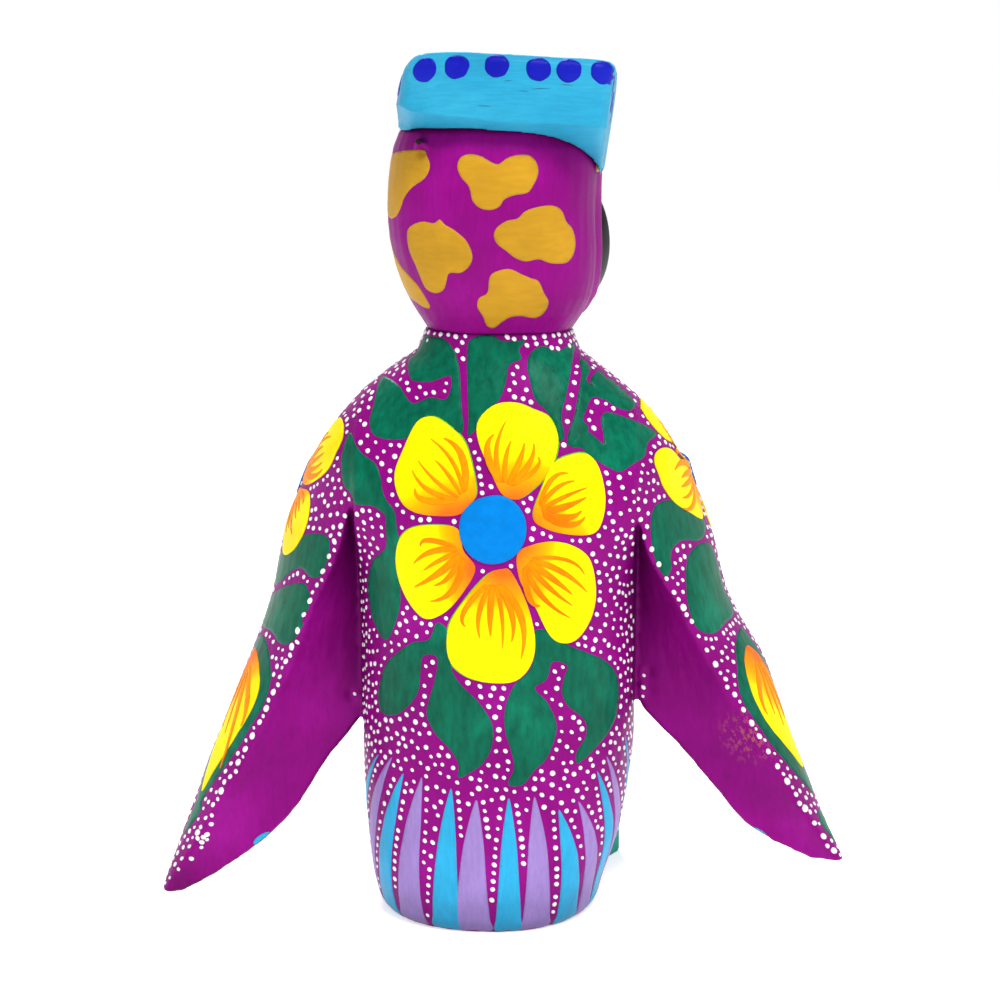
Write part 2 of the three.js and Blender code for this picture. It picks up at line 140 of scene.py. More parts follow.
def noise_node(tree, scale, stretch=(1, 1, 1), detail=3.0, roughness=0.55):
    """Noise in object space, stretched along an axis where brush marks or grain run."""
    where = new_node(tree, "ShaderNodeTexCoord")
    mapping = new_node(tree, "ShaderNodeMapping")
    mapping.inputs["Scale"].default_value = stretch
    tree.links.new(where.outputs["Object"], mapping.inputs["Vector"])
    texture = new_node(tree, "ShaderNodeTexNoise")
    texture.inputs["Scale"].default_value = scale
    texture.inputs["Detail"].default_value = detail
    texture.inputs["Roughness"].default_value = roughness
    tree.links.new(mapping.outputs["Vector"], texture.inputs["Vector"])
    return texture.outputs["Fac"]


def ramp(tree, source, stops):
    node = new_node(tree, "ShaderNodeValToRGB")
    band = node.color_ramp
    while len(band.elements) < len(stops):
        band.elements.new(0.5)
    for element, (position, colour) in zip(band.elements, stops):
        element.position = position
        element.color = (*colour, 1) if len(colour) == 3 else colour
    tree.links.new(source, node.inputs["Fac"])
    return node.outputs["Color"]


def blend(tree, factor, first, second, mode="MIX"):
    """Mixes two colours; each of the three inputs is a socket or a plain value."""
    node = new_node(tree, "ShaderNodeMix", data_type="RGBA", blend_type=mode)
    for socket, value in ((node.inputs[0], factor), (node.inputs[6], first),
                          (node.inputs[7], second)):
        if hasattr(value, "is_output"):
            tree.links.new(value, socket)
        elif isinstance(value, tuple):
            socket.default_value = (*value, 1)
        else:
            socket.default_value = value
    return node.outputs[2]


def shade(colour, by):
    return tuple(min(1.0, max(0.0, c * by)) for c in colour)


def acrylic(name, colour, rough=0.4, grain=(5, 5, 1), marks=0.1, coat=0.0, gloss=0.2,
            tint=None, hollow_shade=0.45):
    """Hand-brushed acrylic: uneven pigment, brush streaks and the wood grain under it.

    grain is how much finer the streaks are along each axis, marks how dark they are, tint
    the colour of the thickest pigment, and hollow_shade how dark the painted shade in closed-in
    places gets.
    """
    material = bpy.data.materials.new(name)
    material.use_nodes = True
    tree = material.node_tree
    shader = tree.nodes["Principled BSDF"]
    cloudy = noise_node(tree, 70, detail=4)
    streaks = noise_node(tree, 260, grain, detail=5, roughness=0.65)
    base = ramp(tree, cloudy, [(0.3, shade(colour, 0.86)), (0.5, colour),
                               (0.72, tint or shade(colour, 1.12))])
    pigment = ramp(tree, streaks, [(0.36, (1 - marks,) * 3), (0.62, (1 + marks * 0.3,) * 3)])
    painted = blend(tree, 1.0, base, pigment, "MULTIPLY")
    # Painted shade: the base colour is darkened where the occlusion node finds closed-in places,
    # such as creases and the joins between parts.
    closed_in = new_node(tree, "ShaderNodeAmbientOcclusion", samples=6)
    closed_in.inputs["Distance"].default_value = 0.014
    painted_shade = ramp(tree, closed_in.outputs["AO"], [(0.3, (hollow_shade,) * 3), (0.82, (1, 1, 1))])
    tree.links.new(blend(tree, 1.0, painted, painted_shade, "MULTIPLY"), shader.inputs["Base Color"])
    satin = ramp(tree, streaks, [(0.3, (rough - 0.07,) * 3), (0.7, (rough + 0.09,) * 3)])
    tree.links.new(satin, shader.inputs["Roughness"])
    shader.inputs["Coat Weight"].default_value = coat
    shader.inputs["Coat Roughness"].default_value = 0.3
    shader.inputs["Specular IOR Level"].default_value = gloss
    relief = new_node(tree, "ShaderNodeBump")
    relief.inputs["Strength"].default_value = 0.35
    relief.inputs["Distance"].default_value = 0.00012
    tree.links.new(streaks, relief.inputs["Height"])
    tree.links.new(relief.outputs["Normal"], shader.inputs["Normal"])
    return material


def base_colour_link(material):
    socket = material.node_tree.nodes["Principled BSDF"].inputs["Base Color"]
    return socket, socket.links[0].from_socket


def scuffed(material, place, reach, colour):
    """Adds a patch where the paint is rubbed through in specks, at a place in metres."""
    tree = material.node_tree
    socket, painted = base_colour_link(material)
    where = new_node(tree, "ShaderNodeTexCoord")
    away = new_node(tree, "ShaderNodeVectorMath", operation="DISTANCE")
    away.inputs[1].default_value = place
    tree.links.new(where.outputs["Object"], away.inputs[0])
    near = new_node(tree, "ShaderNodeMapRange")
    near.inputs["From Min"].default_value = reach
    near.inputs["From Max"].default_value = 0
    tree.links.new(away.outputs["Value"], near.inputs["Value"])
    specks = ramp(tree, noise_node(tree, 1400, (1, 1, 0.5), 2),
                  [(0.52, (0, 0, 0)), (0.6, (1, 1, 1))])
    both = new_node(tree, "ShaderNodeMath", operation="MULTIPLY")
    tree.links.new(near.outputs["Result"], both.inputs[0])
    tree.links.new(specks, both.inputs[1])
    tree.links.new(blend(tree, both.outputs[0], painted, colour), socket)


def petal_paint(name, colour, orange, deep):
    """Yellow acrylic with orange brushed in wet from the base, as the 'orange' values say."""
    material = acrylic(name, colour, rough=0.42, marks=0.05, gloss=0.06, hollow_shade=0.7)
    tree = material.node_tree
    socket, painted = base_colour_link(material)
    value = new_node(tree, "ShaderNodeAttribute", attribute_name="orange")
    warm = ramp(tree, value.outputs["Fac"], [(0.0, colour), (0.45, orange), (0.95, deep)])
    amount = ramp(tree, value.outputs["Fac"], [(0.02, (0, 0, 0)), (0.3, (1, 1, 1))])
    tree.links.new(blend(tree, amount, painted, warm), socket)
    return material


def bare_wood(name):
    return acrylic(name, (0.56, 0.40, 0.22), rough=0.7, grain=(8, 8, 1), marks=0.35)


def dull_steel(name):
    return acrylic(name, (0.02, 0.014, 0.02), rough=0.55, grain=(1, 1, 1), marks=0.3,
                   gloss=0.1)


def purple(name):
    return acrylic(name, (0.25, 0.0015, 0.19), rough=0.42, gloss=0.06,
                   tint=(0.31, 0.004, 0.25))


COLOURS = {
    "purple": purple("purple"),
    "purple_right": purple("purple_right"),
    "turquoise": acrylic("turquoise", (0.022, 0.32, 0.53), rough=0.4, grain=(1, 4, 9),
                         gloss=0.1, tint=(0.034, 0.37, 0.57)),
    "ochre": acrylic("ochre", (0.52, 0.27, 0.014), rough=0.46, grain=(1, 2, 5), marks=0.08,
                     gloss=0.1),
    "green": acrylic("green", (0.0, 0.125, 0.068), rough=0.34, grain=(3, 3, 1), marks=0.3,
                     gloss=0.09, tint=(0.001, 0.20, 0.11)),
    "blue": acrylic("blue", (0.0, 0.195, 0.62), grain=(2, 2, 3), gloss=0.06),
    "deep_blue": acrylic("deep_blue", (0.006, 0.009, 0.38), grain=(1, 2, 4),
                         gloss=0.08, tint=(0.012, 0.02, 0.46)),
    "lilac": acrylic("lilac", (0.32, 0.21, 0.53), grain=(6, 6, 1), gloss=0.1),
    "sky": acrylic("sky", (0.026, 0.38, 0.66), grain=(6, 6, 1), gloss=0.1),
    "teal": acrylic("teal", (0.001, 0.40, 0.29), grain=(4, 4, 2), gloss=0.1),
    "white": acrylic("white", (0.90, 0.86, 0.90), marks=0.04, hollow_shade=0.7),
    "black": acrylic("black", (0.006, 0.006, 0.008), rough=0.2, marks=0.3, coat=0.6),
    "yellow": petal_paint("yellow", (0.98, 0.82, 0.0), (1.0, 0.40, 0.0), (1.0, 0.15, 0.01)),
    "orange": acrylic("orange", (0.92, 0.30, 0.0), rough=0.42, gloss=0.06,
                      tint=(0.88, 0.18, 0.0)),
    "lime": acrylic("lime", (0.13, 0.60, 0.0), rough=0.42),
    "crack": acrylic("crack", (0.008, 0.10, 0.20), rough=0.7),
    "bare_wood": bare_wood("bare_wood"),
    "steel": dull_steel("steel"),
}
RUBBED_PLACE = (-0.0435, 0.0105, 0.0325)     # on the rear of the right wing, in metres
scuffed(COLOURS["purple_right"], RUBBED_PLACE, 0.0062, (0.42, 0.10, 0.09))

# ---- meshes -----------------------------------------------------------------------------


def node_mesh(name, shift=(0, 0, 0)):
    """A CAD node's points, in millimetres, and faces."""
    data = nodes[name].data
    points = np.empty(len(data.vertices) * 3)
    data.vertices.foreach_get("co", points)
    faces = [tuple(p.vertices) for p in data.polygons]
    return points.reshape(-1, 3) / MM + np.array(shift), faces


def swollen(name, by):
    """A convex CAD pin grown on all sides, which plugs the bore it sits in."""
    points, faces = node_mesh(name)
    middle = points.mean(axis=0)
    away = points - middle
    size = np.abs(away).max(axis=0) + 1e-6
    return middle + away * (1 + by / size), faces


def joined(parts):
    points, faces, count = [], [], 0
    for part_points, part_faces in parts:
        points.append(np.asarray(part_points, dtype=float))
        faces += [tuple(i + count for i in face) for face in part_faces]
        count += len(part_points)
    return np.vstack(points), faces


def make_data(name, points, faces):
    data = bpy.data.meshes.new(name)
    data.from_pydata([tuple(p) for p in np.asarray(points) * MM], [], faces)
    data.update()
    return data


def show(name, points, faces, colour):
    """Adds a finished piece to the scene, riding on the figure."""
    data = make_data(name, points, faces)
    piece = bpy.data.objects.new(name, data)
    bpy.context.scene.collection.objects.link(piece)
    data.materials.append(COLOURS[colour])
    data.polygons.foreach_set("use_smooth", [True] * len(data.polygons))
    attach(piece, "root")
    return piece


def remeshed(points, faces, voxel):
    """The outer skin of overlapping closed meshes, as even small squares."""
    data = make_data("rough", points, faces)
    rough = bpy.data.objects.new("rough", data)
    bpy.context.scene.collection.objects.link(rough)
    remesh = rough.modifiers.new("remesh", "REMESH")
    remesh.mode = "VOXEL"
    remesh.voxel_size = voxel * MM
    graph = bpy.context.evaluated_depsgraph_get()
    result = bpy.data.meshes.new_from_object(rough.evaluated_get(graph))
    bpy.data.objects.remove(rough)
    return largest_shell(result)


def largest_shell(data):
    """Keeps the biggest connected skin, so that no sealed hollow stays inside."""
    work = bmesh.new()
    work.from_mesh(data)
    work.verts.ensure_lookup_table()
    unseen = set(range(len(work.verts)))
    best = []
    while unseen:
        start = unseen.pop()
        shell, front = [start], [start]
        while front:
            vert = work.verts[front.pop()]
            for edge in vert.link_edges:
                other = edge.other_vert(vert).index
                if other in unseen:
                    unseen.discard(other)
                    shell.append(other)
                    front.append(other)
        best = max(best, shell, key=len)
    keep = set(best)
    bmesh.ops.delete(work, geom=[v for v in work.verts if v.index not in keep])
    work.verts.index_update()
    points = np.array([v.co[:] for v in work.verts]) / MM
    faces = [tuple(v.index for v in f.verts) for f in work.faces]
    edges = np.array([(e.verts[0].index, e.verts[1].index) for e in work.edges])
    work.free()
    return points, faces, edges


def soften(points, edges, rounds):
    """Rounds off facets without shrinking the form."""
    first, second = edges.T
    count = len(points)
    degree = np.bincount(edges.ravel(), minlength=count)[:, None]
    for _ in range(rounds):
        for weight in (0.55, -0.57):
            total = np.empty_like(points)
            for k in range(3):
                total[:, k] = (np.bincount(first, points[second, k], count)
                               + np.bincount(second, points[first, k], count))
            points = points + weight * (total / degree - points)
    return points


def normals_of(points, faces):
    quads = np.array([f if len(f) == 4 else (*f, f[-1]) for f in faces])
    a, b, c, d = (points[quads[:, k]] for k in range(4))
    across = np.cross(c - a, d - b)
    normals = np.zeros_like(points)
    for k in range(4):
        for axis in range(3):
            normals[:, axis] += np.bincount(quads[:, k], across[:, axis], len(points))
    return normals / (np.linalg.norm(normals, axis=1)[:, None] + 1e-12)


def handmade(points, faces, lump, size, ripple=0.0):
    """Pushes the skin in and out a little, as knife and sandpaper leave it."""
    normals = normals_of(points, faces)
    push = np.array([lump * noise.noise(Vector(p) / size)
                     + ripple * noise.noise(Vector((p[0] * 0.9, p[1] * 0.9, p[2] * 0.12)))
                     for p in points])
    return points + normals * push[:, None]


def skin_of(parts, voxel, rounds, lump=0.0, size=9.0, ripple=0.0):
    points, faces, edges = remeshed(*joined(parts), voxel)
    points = soften(points, edges, rounds)
    if lump or ripple:
        points = handmade(points, faces, lump, size, ripple)
    points[:, 2] = np.maximum(points[:, 2], 0.0)
    return points, faces


def tree_of(points, faces):
    return BVHTree.FromPolygons([Vector(p) for p in points], faces)


def cut(points, faces, planes):
    """The part of a closed mesh on the near side of each plane, closed again."""
    work = bmesh.new()
    verts = [work.verts.new(p) for p in points]
    for face in faces:
        work.faces.new([verts[i] for i in face])
    for place, normal in planes:
        result = bmesh.ops.bisect_plane(
            work, geom=work.verts[:] + work.edges[:] + work.faces[:],
            plane_co=place, plane_no=normal, clear_outer=True)
        rim = [e for e in result["geom_cut"] if isinstance(e, bmesh.types.BMEdge)]
        bmesh.ops.triangle_fill(work, edges=rim, use_beauty=True, use_dissolve=False)
    bmesh.ops.recalc_face_normals(work, faces=work.faces[:])
    work.verts.index_update()
    new_points = np.array([v.co[:] for v in work.verts])
    new_faces = [tuple(v.index for v in f.verts) for f in work.faces]
    work.free()
    return new_points, new_faces


# ---- charts: how a flat drawing lands on the wood -------------------------------------------

FAR = 90                # where the straight charts start, outside everything
FAR_SIDE = 110          # the same for the side charts, which start outside the wings
AROUND_REACH = 27       # the round chart starts between the body and the wings
TILT = (0.951, 0.309)   # cosine and sine of 18 degrees


def from_behind(u, v):
    return Vector((u, FAR, v)), Vector((0, -1, 0))


def from_above_behind(u, v):
    """Tilted, so that paint wraps over the brow's top edge, 18 mm behind the middle."""
    away = 80
    return (Vector((u, 18 + away, v + round(away * TILT[1] / TILT[0]))),
            Vector((0, -TILT[0], -TILT[1])))


def from_front(u, v):
    return Vector((u, -FAR, v)), Vector((0, 1, 0))


def from_side(side):
    return lambda u, v: (Vector((side * FAR_SIDE, u, v)), Vector((-side, 0, 0)))


def around(u, v):
    """u is degrees round the middle, 0 at the back and 90 on the owl's left."""
    angle = math.radians(u)
    out = Vector((math.sin(angle), math.cos(angle), 0))
    return out * AROUND_REACH + Vector((0, 0, v)), -out


def with_head(x, y):
    """Turns a place about the upright axis as far as the head is turned."""
    spin = math.radians(-HEAD_TURN)
    return x * math.cos(spin) - y * math.sin(spin), x * math.sin(spin) + y * math.cos(spin)


def turned(chart):
    """The same chart on the head, which looks a little to its right."""
    def chart_turned(u, v):
        return tuple(Vector((*with_head(p.x, p.y), p.z)) for p in chart(u, v))
    return chart_turned


# ---- films of paint -------------------------------------------------------------------------


def smooth_outline(corners, step):
    """An even, rounded closed line through given points."""
    corners = np.array(corners, dtype=float)
    count = len(corners)
    line = []
    for i in range(count):
        p0, p1, p2, p3 = (corners[(i + k) % count] for k in (-1, 0, 1, 2))
        pieces = max(2, int(np.linalg.norm(p2 - p1) / step * 2))
        for t in np.arange(pieces) / pieces:
            line.append(0.5 * (2 * p1 + (p2 - p0) * t + (2 * p0 - 5 * p1 + 4 * p2 - p3) * t**2
                               + (3 * p1 - p0 - 3 * p2 + p3) * t**3))
    line = np.array(line)
    ahead = np.roll(line, -1, axis=0)
    along = np.concatenate([[0], np.cumsum(np.linalg.norm(ahead - line, axis=1))])
    closed = np.vstack([line, line[:1]])
    stations = np.linspace(0, along[-1], max(8, int(along[-1] / step)), endpoint=False)
    return np.column_stack([np.interp(stations, along, closed[:, k]) for k in range(2)])


def inside(outline, points):
    x, y = points[:, 0][:, None], points[:, 1][:, None]
    x1, y1 = outline[:, 0], outline[:, 1]
    x2, y2 = np.roll(x1, -1), np.roll(y1, -1)
    spans = (y1 > y) != (y2 > y)
    cross = (x2 - x1) * (y - y1) / np.where(y2 == y1, 1e-9, y2 - y1) + x1
    return (np.sum(spans & (x < cross), axis=1) % 2) == 1


class Films:
    """Paint of one colour on one skin: many thin closed sheets in one mesh."""

    def __init__(self):
        self.points, self.faces, self.values, self.rims = [], [], [], []
        self.flat = []           # numbers of the rim faces, which stay unsmoothed

    def add(self, tree, chart, corners, step=STEP, thick=PAINT, value=None, squeeze=1.0,
            only=None, over=0.0):
        """Lays the outline on the skin, where the rule 'only' allows it. squeeze is chart
        units per mm across, and over is how far other paint under it lifts it."""
        scale = np.array([1 / squeeze, 1.0])
        corners = np.asarray(corners, dtype=float) * scale
        rim = smooth_outline(corners, step)
        low, high = rim.min(axis=0), rim.max(axis=0)
        rows = np.arange(low[1], high[1], step * 0.87)
        grid = np.array([(x, y) for r, y in enumerate(rows)
                         for x in np.arange(low[0] + (r % 2) * step / 2, high[0], step)])
        if len(grid):
            gap = np.linalg.norm(grid[:, None] - rim[None], axis=2).min(axis=1)
            keep = inside(rim, grid) & (gap > step * 0.45)
            grid, gap = grid[keep], gap[keep]
        flat = np.vstack([rim, grid]) if len(grid) else rim
        edge_gap = np.concatenate([np.zeros(len(rim)), gap if len(grid) else []])
        loop = [(i, (i + 1) % len(rim)) for i in range(len(rim))]
        verts, _, tris, origin, _, _ = delaunay_2d_cdt(
            [Vector(p) for p in flat], loop, [], 0, 1e-6)
        flat = np.array([v[:] for v in verts])
        edge_gap = np.array([edge_gap[o[0]] if o else 0.0 for o in origin])
        centres = np.array([flat[list(t)].mean(axis=0) for t in tris])
        tris = [t for t, ok in zip(tris, inside(rim, centres)) if ok]
        self._lay(tree, chart, flat / scale, edge_gap, tris, thick, value, only, over)

    def _lay(self, tree, chart, flat, edge_gap, tris, thick, value, only, over):
        tops, bottoms, found = [], [], {}
        for i, (u, v) in enumerate(flat):
            place, way = chart(u, v)
            hit, normal, _, _ = tree.ray_cast(place, way)
            if hit is None or normal.dot(way) > -GRAZING or (only and not only(hit, normal)):
                continue
            lift = thick * (0.25 + 0.75 * min(1.0, edge_gap[i] / SOFT_EDGE))
            lift = over + lift * (1 + 0.25 * noise.noise(hit * 1.7))
            found[i] = len(tops)
            tops.append(hit + normal * lift)
            bottoms.append(hit - normal * SUNK)
        count = len(self.points)
        kept = [tuple(found[i] for i in t) for t in tris if all(i in found for i in t)]
        kept = [t for t in kept if max((tops[t[k]] - tops[t[k - 1]]).length
                                       for k in range(3)) < LONGEST]
        if not kept:
            return
        used = sorted({i for t in kept for i in t})
        renumber = {old: new for new, old in enumerate(used)}
        inverse = {new: old for old, new in found.items()}
        tops = [tops[i] for i in used]
        bottoms = [bottoms[i] for i in used]
        half = len(used)
        kept = [tuple(renumber[i] for i in t) for t in kept]
        a, b, c = (tops[i] for i in kept[0])
        _, way = chart(*flat[inverse[used[kept[0][0]]]])
        if (b - a).cross(c - a).dot(way) > 0:
            kept = [t[::-1] for t in kept]
        self.points += [p[:] for p in tops] + [p[:] for p in bottoms]
        sides = {}
        for t in kept:
            self.faces.append(tuple(i + count for i in t))
            self.faces.append(tuple(i + count + half for i in t[::-1]))
            for k in range(3):
                edge = (t[k], t[(k + 1) % 3])
                if (edge[1], edge[0]) in sides:
                    del sides[(edge[1], edge[0])]
                else:
                    sides[edge] = True
        for p, q in sides:
            self.flat.append(len(self.faces))
            self.faces.append((q + count, p + count, p + count + half, q + count + half))
            self.rims.append((tuple(tops[p]), tuple(tops[q])))
        amounts = [value(*flat[inverse[i]]) if value else 0.0 for i in used]
        self.values += amounts * 2

    def show(self, name, colour):
        if not self.points:
            return None
        piece = show(name, np.array(self.points), self.faces, colour)
        for number in self.flat:
            piece.data.polygons[number].use_smooth = False
        if any(self.values):
            layer = piece.data.attributes.new("orange", "FLOAT", "POINT")
            layer.data.foreach_set("value", self.values)
        return piece


# ---- the carved wood ------------------------------------------------------------------------

BODY_PINS = ["neck_dowel", "wing_dowel_left_upper", "wing_dowel_left_lower",
             "wing_dowel_right_upper", "wing_dowel_right_lower", "foot_peg_left",
             "foot_peg_right"]
WING_BRADS = ["brad_left", "brad_right_upper", "brad_right_lower"]


def plugs(names, by=0.75):
    return [swollen(name, by) for name in names]


def body_and_wings():
    """One rounded form, cut again at the two wing joints."""
    parts = [node_mesh("body"), node_mesh("wing_left", (-0.45, 0, 0)),
             node_mesh("wing_right", (0.45, 0, 0))] + plugs(BODY_PINS)
    parts += plugs(WING_BRADS, 0.3)
    points, faces = skin_of(parts, BODY_VOXEL, 14, lump=0.22, size=11, ripple=0.05)
    whole = tree_of(points, faces)
    left, right = ((ROOT_X, 0, 0), (1, 0, 0)), ((-ROOT_X, 0, 0), (-1, 0, 0))
    body = cut(points, faces, [left, right])
    wing_left = cut(points, faces, [((ROOT_X, 0, 0), (-1, 0, 0))])
    wing_right = cut(points, faces, [((-ROOT_X, 0, 0), (1, 0, 0))])
    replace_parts(show("body_wood", *body, "purple"), "body")
    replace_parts(show("wing_left_wood", *wing_left, "purple"), "wing_left")
    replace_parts(show("wing_right_wood", *wing_right, "purple_right"), "wing_right")
    return whole, points, faces


def settled(part, below, by):
    """Lowers the bottom of a piece a little, so that it sits tight on its neighbour."""
    points, faces = part
    points = points.copy()
    points[points[:, 2] < below, 2] -= by
    return points, faces


def face_rim(points):
    """A shallow groove carved behind the rim of each eye, which leaves the rim proud."""
    points = points.copy()
    for side in (1, -1):
        turn = math.radians(side * EYE_TURN - HEAD_TURN)
        centre = np.array([*with_head(side * EYE_CENTRE[0] + FACE_X, EYE_CENTRE[1]),
                           EYE_CENTRE[2]])
        out = np.array([math.sin(turn), -math.cos(turn), 0])
        behind = -(points - centre) @ out
        radial = points - centre + behind[:, None] * out
        reach = np.linalg.norm(radial * np.array([1, 1, 1 / EYE_TALL]), axis=1)
        outer = np.clip((side * radial @ np.array([math.cos(turn), math.sin(turn), 0])) / 5,
                        0, 1)
        ring = np.clip((reach - EYE_RADIUS + 4) / 3, 0, 1)
        groove = 1.0 * np.exp(-((behind - 4.4) / 1.7) ** 2) * ring * outer
        rim = 0.35 * np.exp(-((behind - 1.0) / 1.2) ** 2) * ring * outer
        points += radial / (reach[:, None] + 1e-6) * (rim - groove)[:, None]
    return points


def head_wood():
    pins = ["neck_dowel", "brow_dowel_left", "brow_dowel_right", "beak_peg", "brad_brow"]
    parts = [settled(node_mesh("head"), 103.9, 0.6)] + plugs(pins[:1], 0.5)
    parts += plugs(pins[1:4], 0.45) + plugs(pins[4:], 0.3)
    points, faces = skin_of(parts, SMALL_VOXEL * 1.3, 12, lump=0.2, size=8, ripple=0.04)
    points = face_rim(points)
    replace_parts(show("head_wood", points, faces, "purple"), "head")
    return tree_of(points, faces)


def brow_wood():
    parts = [node_mesh("brow")] + plugs(["brow_dowel_left", "brow_dowel_right"], 0.4)
    points, faces = skin_of(parts, SMALL_VOXEL, 7, lump=0.3, size=10, ripple=0.0)
    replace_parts(show("brow_wood", points, faces, "turquoise"), "brow")
    return tree_of(points, faces)


def small_wood(node, colour, rounds, pins=()):
    parts = [node_mesh(node)] + plugs(pins, 0.4)
    points, faces = skin_of(parts, SMALL_VOXEL, rounds, lump=0.12, size=5)
    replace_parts(show(node + "_wood", points, faces, colour), node)
    return tree_of(points, faces)


# ---- painted motifs -------------------------------------------------------------------------


def leaf(base, tip, width, bend):
    """A leaf outline: a bent spine with rounded sides and a pointed tip."""
    base, tip = np.array(base, dtype=float), np.array(tip, dtype=float)
    run = tip - base
    side = np.array([-run[1], run[0]]) / np.linalg.norm(run)
    spine = lambda t: base + run * t + side * bend * math.sin(math.pi * t)
    girth = lambda t: width / 2 * math.sin(math.pi * math.sqrt(t)) ** 0.8
    stations = np.linspace(0, 1, 9)
    left = [spine(t) + side * girth(t) for t in stations[:-1]]
    right = [spine(t) - side * girth(t) for t in stations[:0:-1]]
    return left + right


def petal(centre, angle, reach, start, width):
    """A rounded petal that widens from its base beside the flower's centre."""
    out = np.array([math.cos(angle), math.sin(angle)])
    side = np.array([-out[1], out[0]])
    centre = np.array(centre, dtype=float)
    shape = [(0, 0.12), (0.25, 0.33), (0.55, 0.48), (0.8, 0.42), (0.95, 0.25), (1.0, 0.0)]
    left = [centre + out * (start + (reach - start) * t) + side * width * w for t, w in shape]
    right = [centre + out * (start + (reach - start) * t) - side * width * w
             for t, w in shape[-2::-1]]
    return left + right


def brushed(centre, tip, lean):
    """Orange that glows from a petal's base, more on one side than on the other."""
    centre, tip = np.array(centre, dtype=float), np.array(tip, dtype=float)
    run = tip - centre
    length = float(np.linalg.norm(run))
    out = run / length
    side = np.array([-out[1], out[0]])

    def amount(u, v):
        p = np.array([u, v]) - centre
        t = float(p @ out) / length
        s = float(p @ side) / length
        ragged = 0.05 * noise.noise(Vector((u, v, 3.0)) * 0.3)
        return min(1.0, max(0.0, 1 - (t - 0.2 - 0.9 * lean * s + ragged) / 0.34))
    return amount


def petal_strokes(films, tree, chart, centre, outline, count=6, only=None):
    """Thin orange strokes that fan out from a petal's base and bow with its sides."""
    centre = np.array(centre, dtype=float)
    points = np.array(outline, dtype=float)
    middle = points.mean(axis=0)
    out = (middle - centre) / np.linalg.norm(middle - centre)
    side = np.array([-out[1], out[0]])
    near = float(((points - centre) @ out).min())
    length = float(((points - centre) @ out).max()) - near
    half = float(np.abs((points - middle) @ side).max())
    base = centre + out * near
    for k in range(count):
        s = (2 * k / (count - 1) - 1) * 0.8 + random.uniform(-0.07, 0.07)
        reach = random.uniform(0.58, 0.88) - 0.12 * abs(s)
        start = base + out * length * 0.14 + side * half * s * 0.2
        bend = base + out * length * 0.42 + side * half * s * 1.05
        end = base + out * length * reach + side * half * s * 0.72
        width = random.uniform(0.6, 1.25)
        line = [(1 - t) ** 2 * start + 2 * t * (1 - t) * bend + t * t * end
                for t in np.linspace(0, 1, 9)]
        left, right = [], []
        for i, (p, w) in enumerate(zip(line, (0.5, 0.85, 1, 1, 0.95, 0.8, 0.6, 0.4, 0.12))):
            run = line[min(i + 1, 8)] - line[max(i - 1, 0)]
            across = np.array([-run[1], run[0]]) / np.linalg.norm(run) * width / 2 * w
            left.append(p + across)
            right.append(p - across)
        films["orange"].add(tree, chart, left + right[::-1], step=0.3, thick=PAINT * 0.8,
                            only=only, over=ON_PETAL)


def circle(centre, radius, wobble):
    """A hand-drawn round: the wobble is the most that its radius strays, as a share."""
    turns = [2 * math.pi * k / 14 for k in range(14)]
    return [(centre[0] + radius * (1 + random.uniform(-wobble, wobble)) * math.cos(a),
             centre[1] + radius * (1 + random.uniform(-wobble, wobble)) * math.sin(a))
            for a in turns]


# The big flower on the back: its middle and its six petals, seen from behind.
FLOWER_CENTRE = (-0.4, 71.4)
BACK_PETALS = [
    [(10.5, 89.5), (8, 88.5), (5, 86), (3.5, 82.5), (2.5, 78), (3, 76), (5, 74), (8.5, 73.5),
     (13, 74), (15.5, 76), (16.5, 80), (15, 84.5), (13, 88.5)],
    [(-2, 77), (0.5, 81.5), (2.5, 86), (2.5, 89), (0, 91.5), (-3.5, 92), (-6.5, 91),
     (-9.5, 89.5), (-11, 86), (-10, 81.5), (-7.5, 78.5), (-4.5, 76.5)],
    [(-7, 73.5), (-8.5, 78.5), (-10, 82), (-13, 83.5), (-16, 83.5), (-18, 81), (-19, 76.5),
     (-18.5, 72.5), (-17, 70.5), (-13.5, 70.5), (-9.5, 71.5)],
    [(-4.5, 67.5), (-7, 69), (-10.5, 69.5), (-14, 68.5), (-16.5, 66), (-17.5, 61),
     (-17, 56.5), (-15, 53), (-12.5, 52), (-10, 53.5), (-7.5, 58.5), (-5, 63)],
    [(-2, 65), (0.5, 64), (4, 60), (7, 55), (7, 49.5), (4, 46.5), (-0.5, 45.5), (-4.5, 46),
     (-7, 49), (-7.5, 53.5), (-6, 59.5), (-3.5, 64.5)],
    [(4.5, 68), (5.5, 71.5), (10, 72), (14, 71), (16, 68), (16, 63), (14, 58.5), (11, 56),
     (7.5, 57.5), (4.5, 61), (2.5, 65)],
]
# Which way each petal's orange leans, and how far a lime edge shows from under it.
PETAL_LEAN = [-0.5, 0.2, 0.5, 0.6, -0.3, -0.6]
PETAL_LIME = [(-0.15, 0.2), (-0.22, 0), (0.05, 0.2), (0, 0), (0.25, -0.05), (0.15, 0.12)]

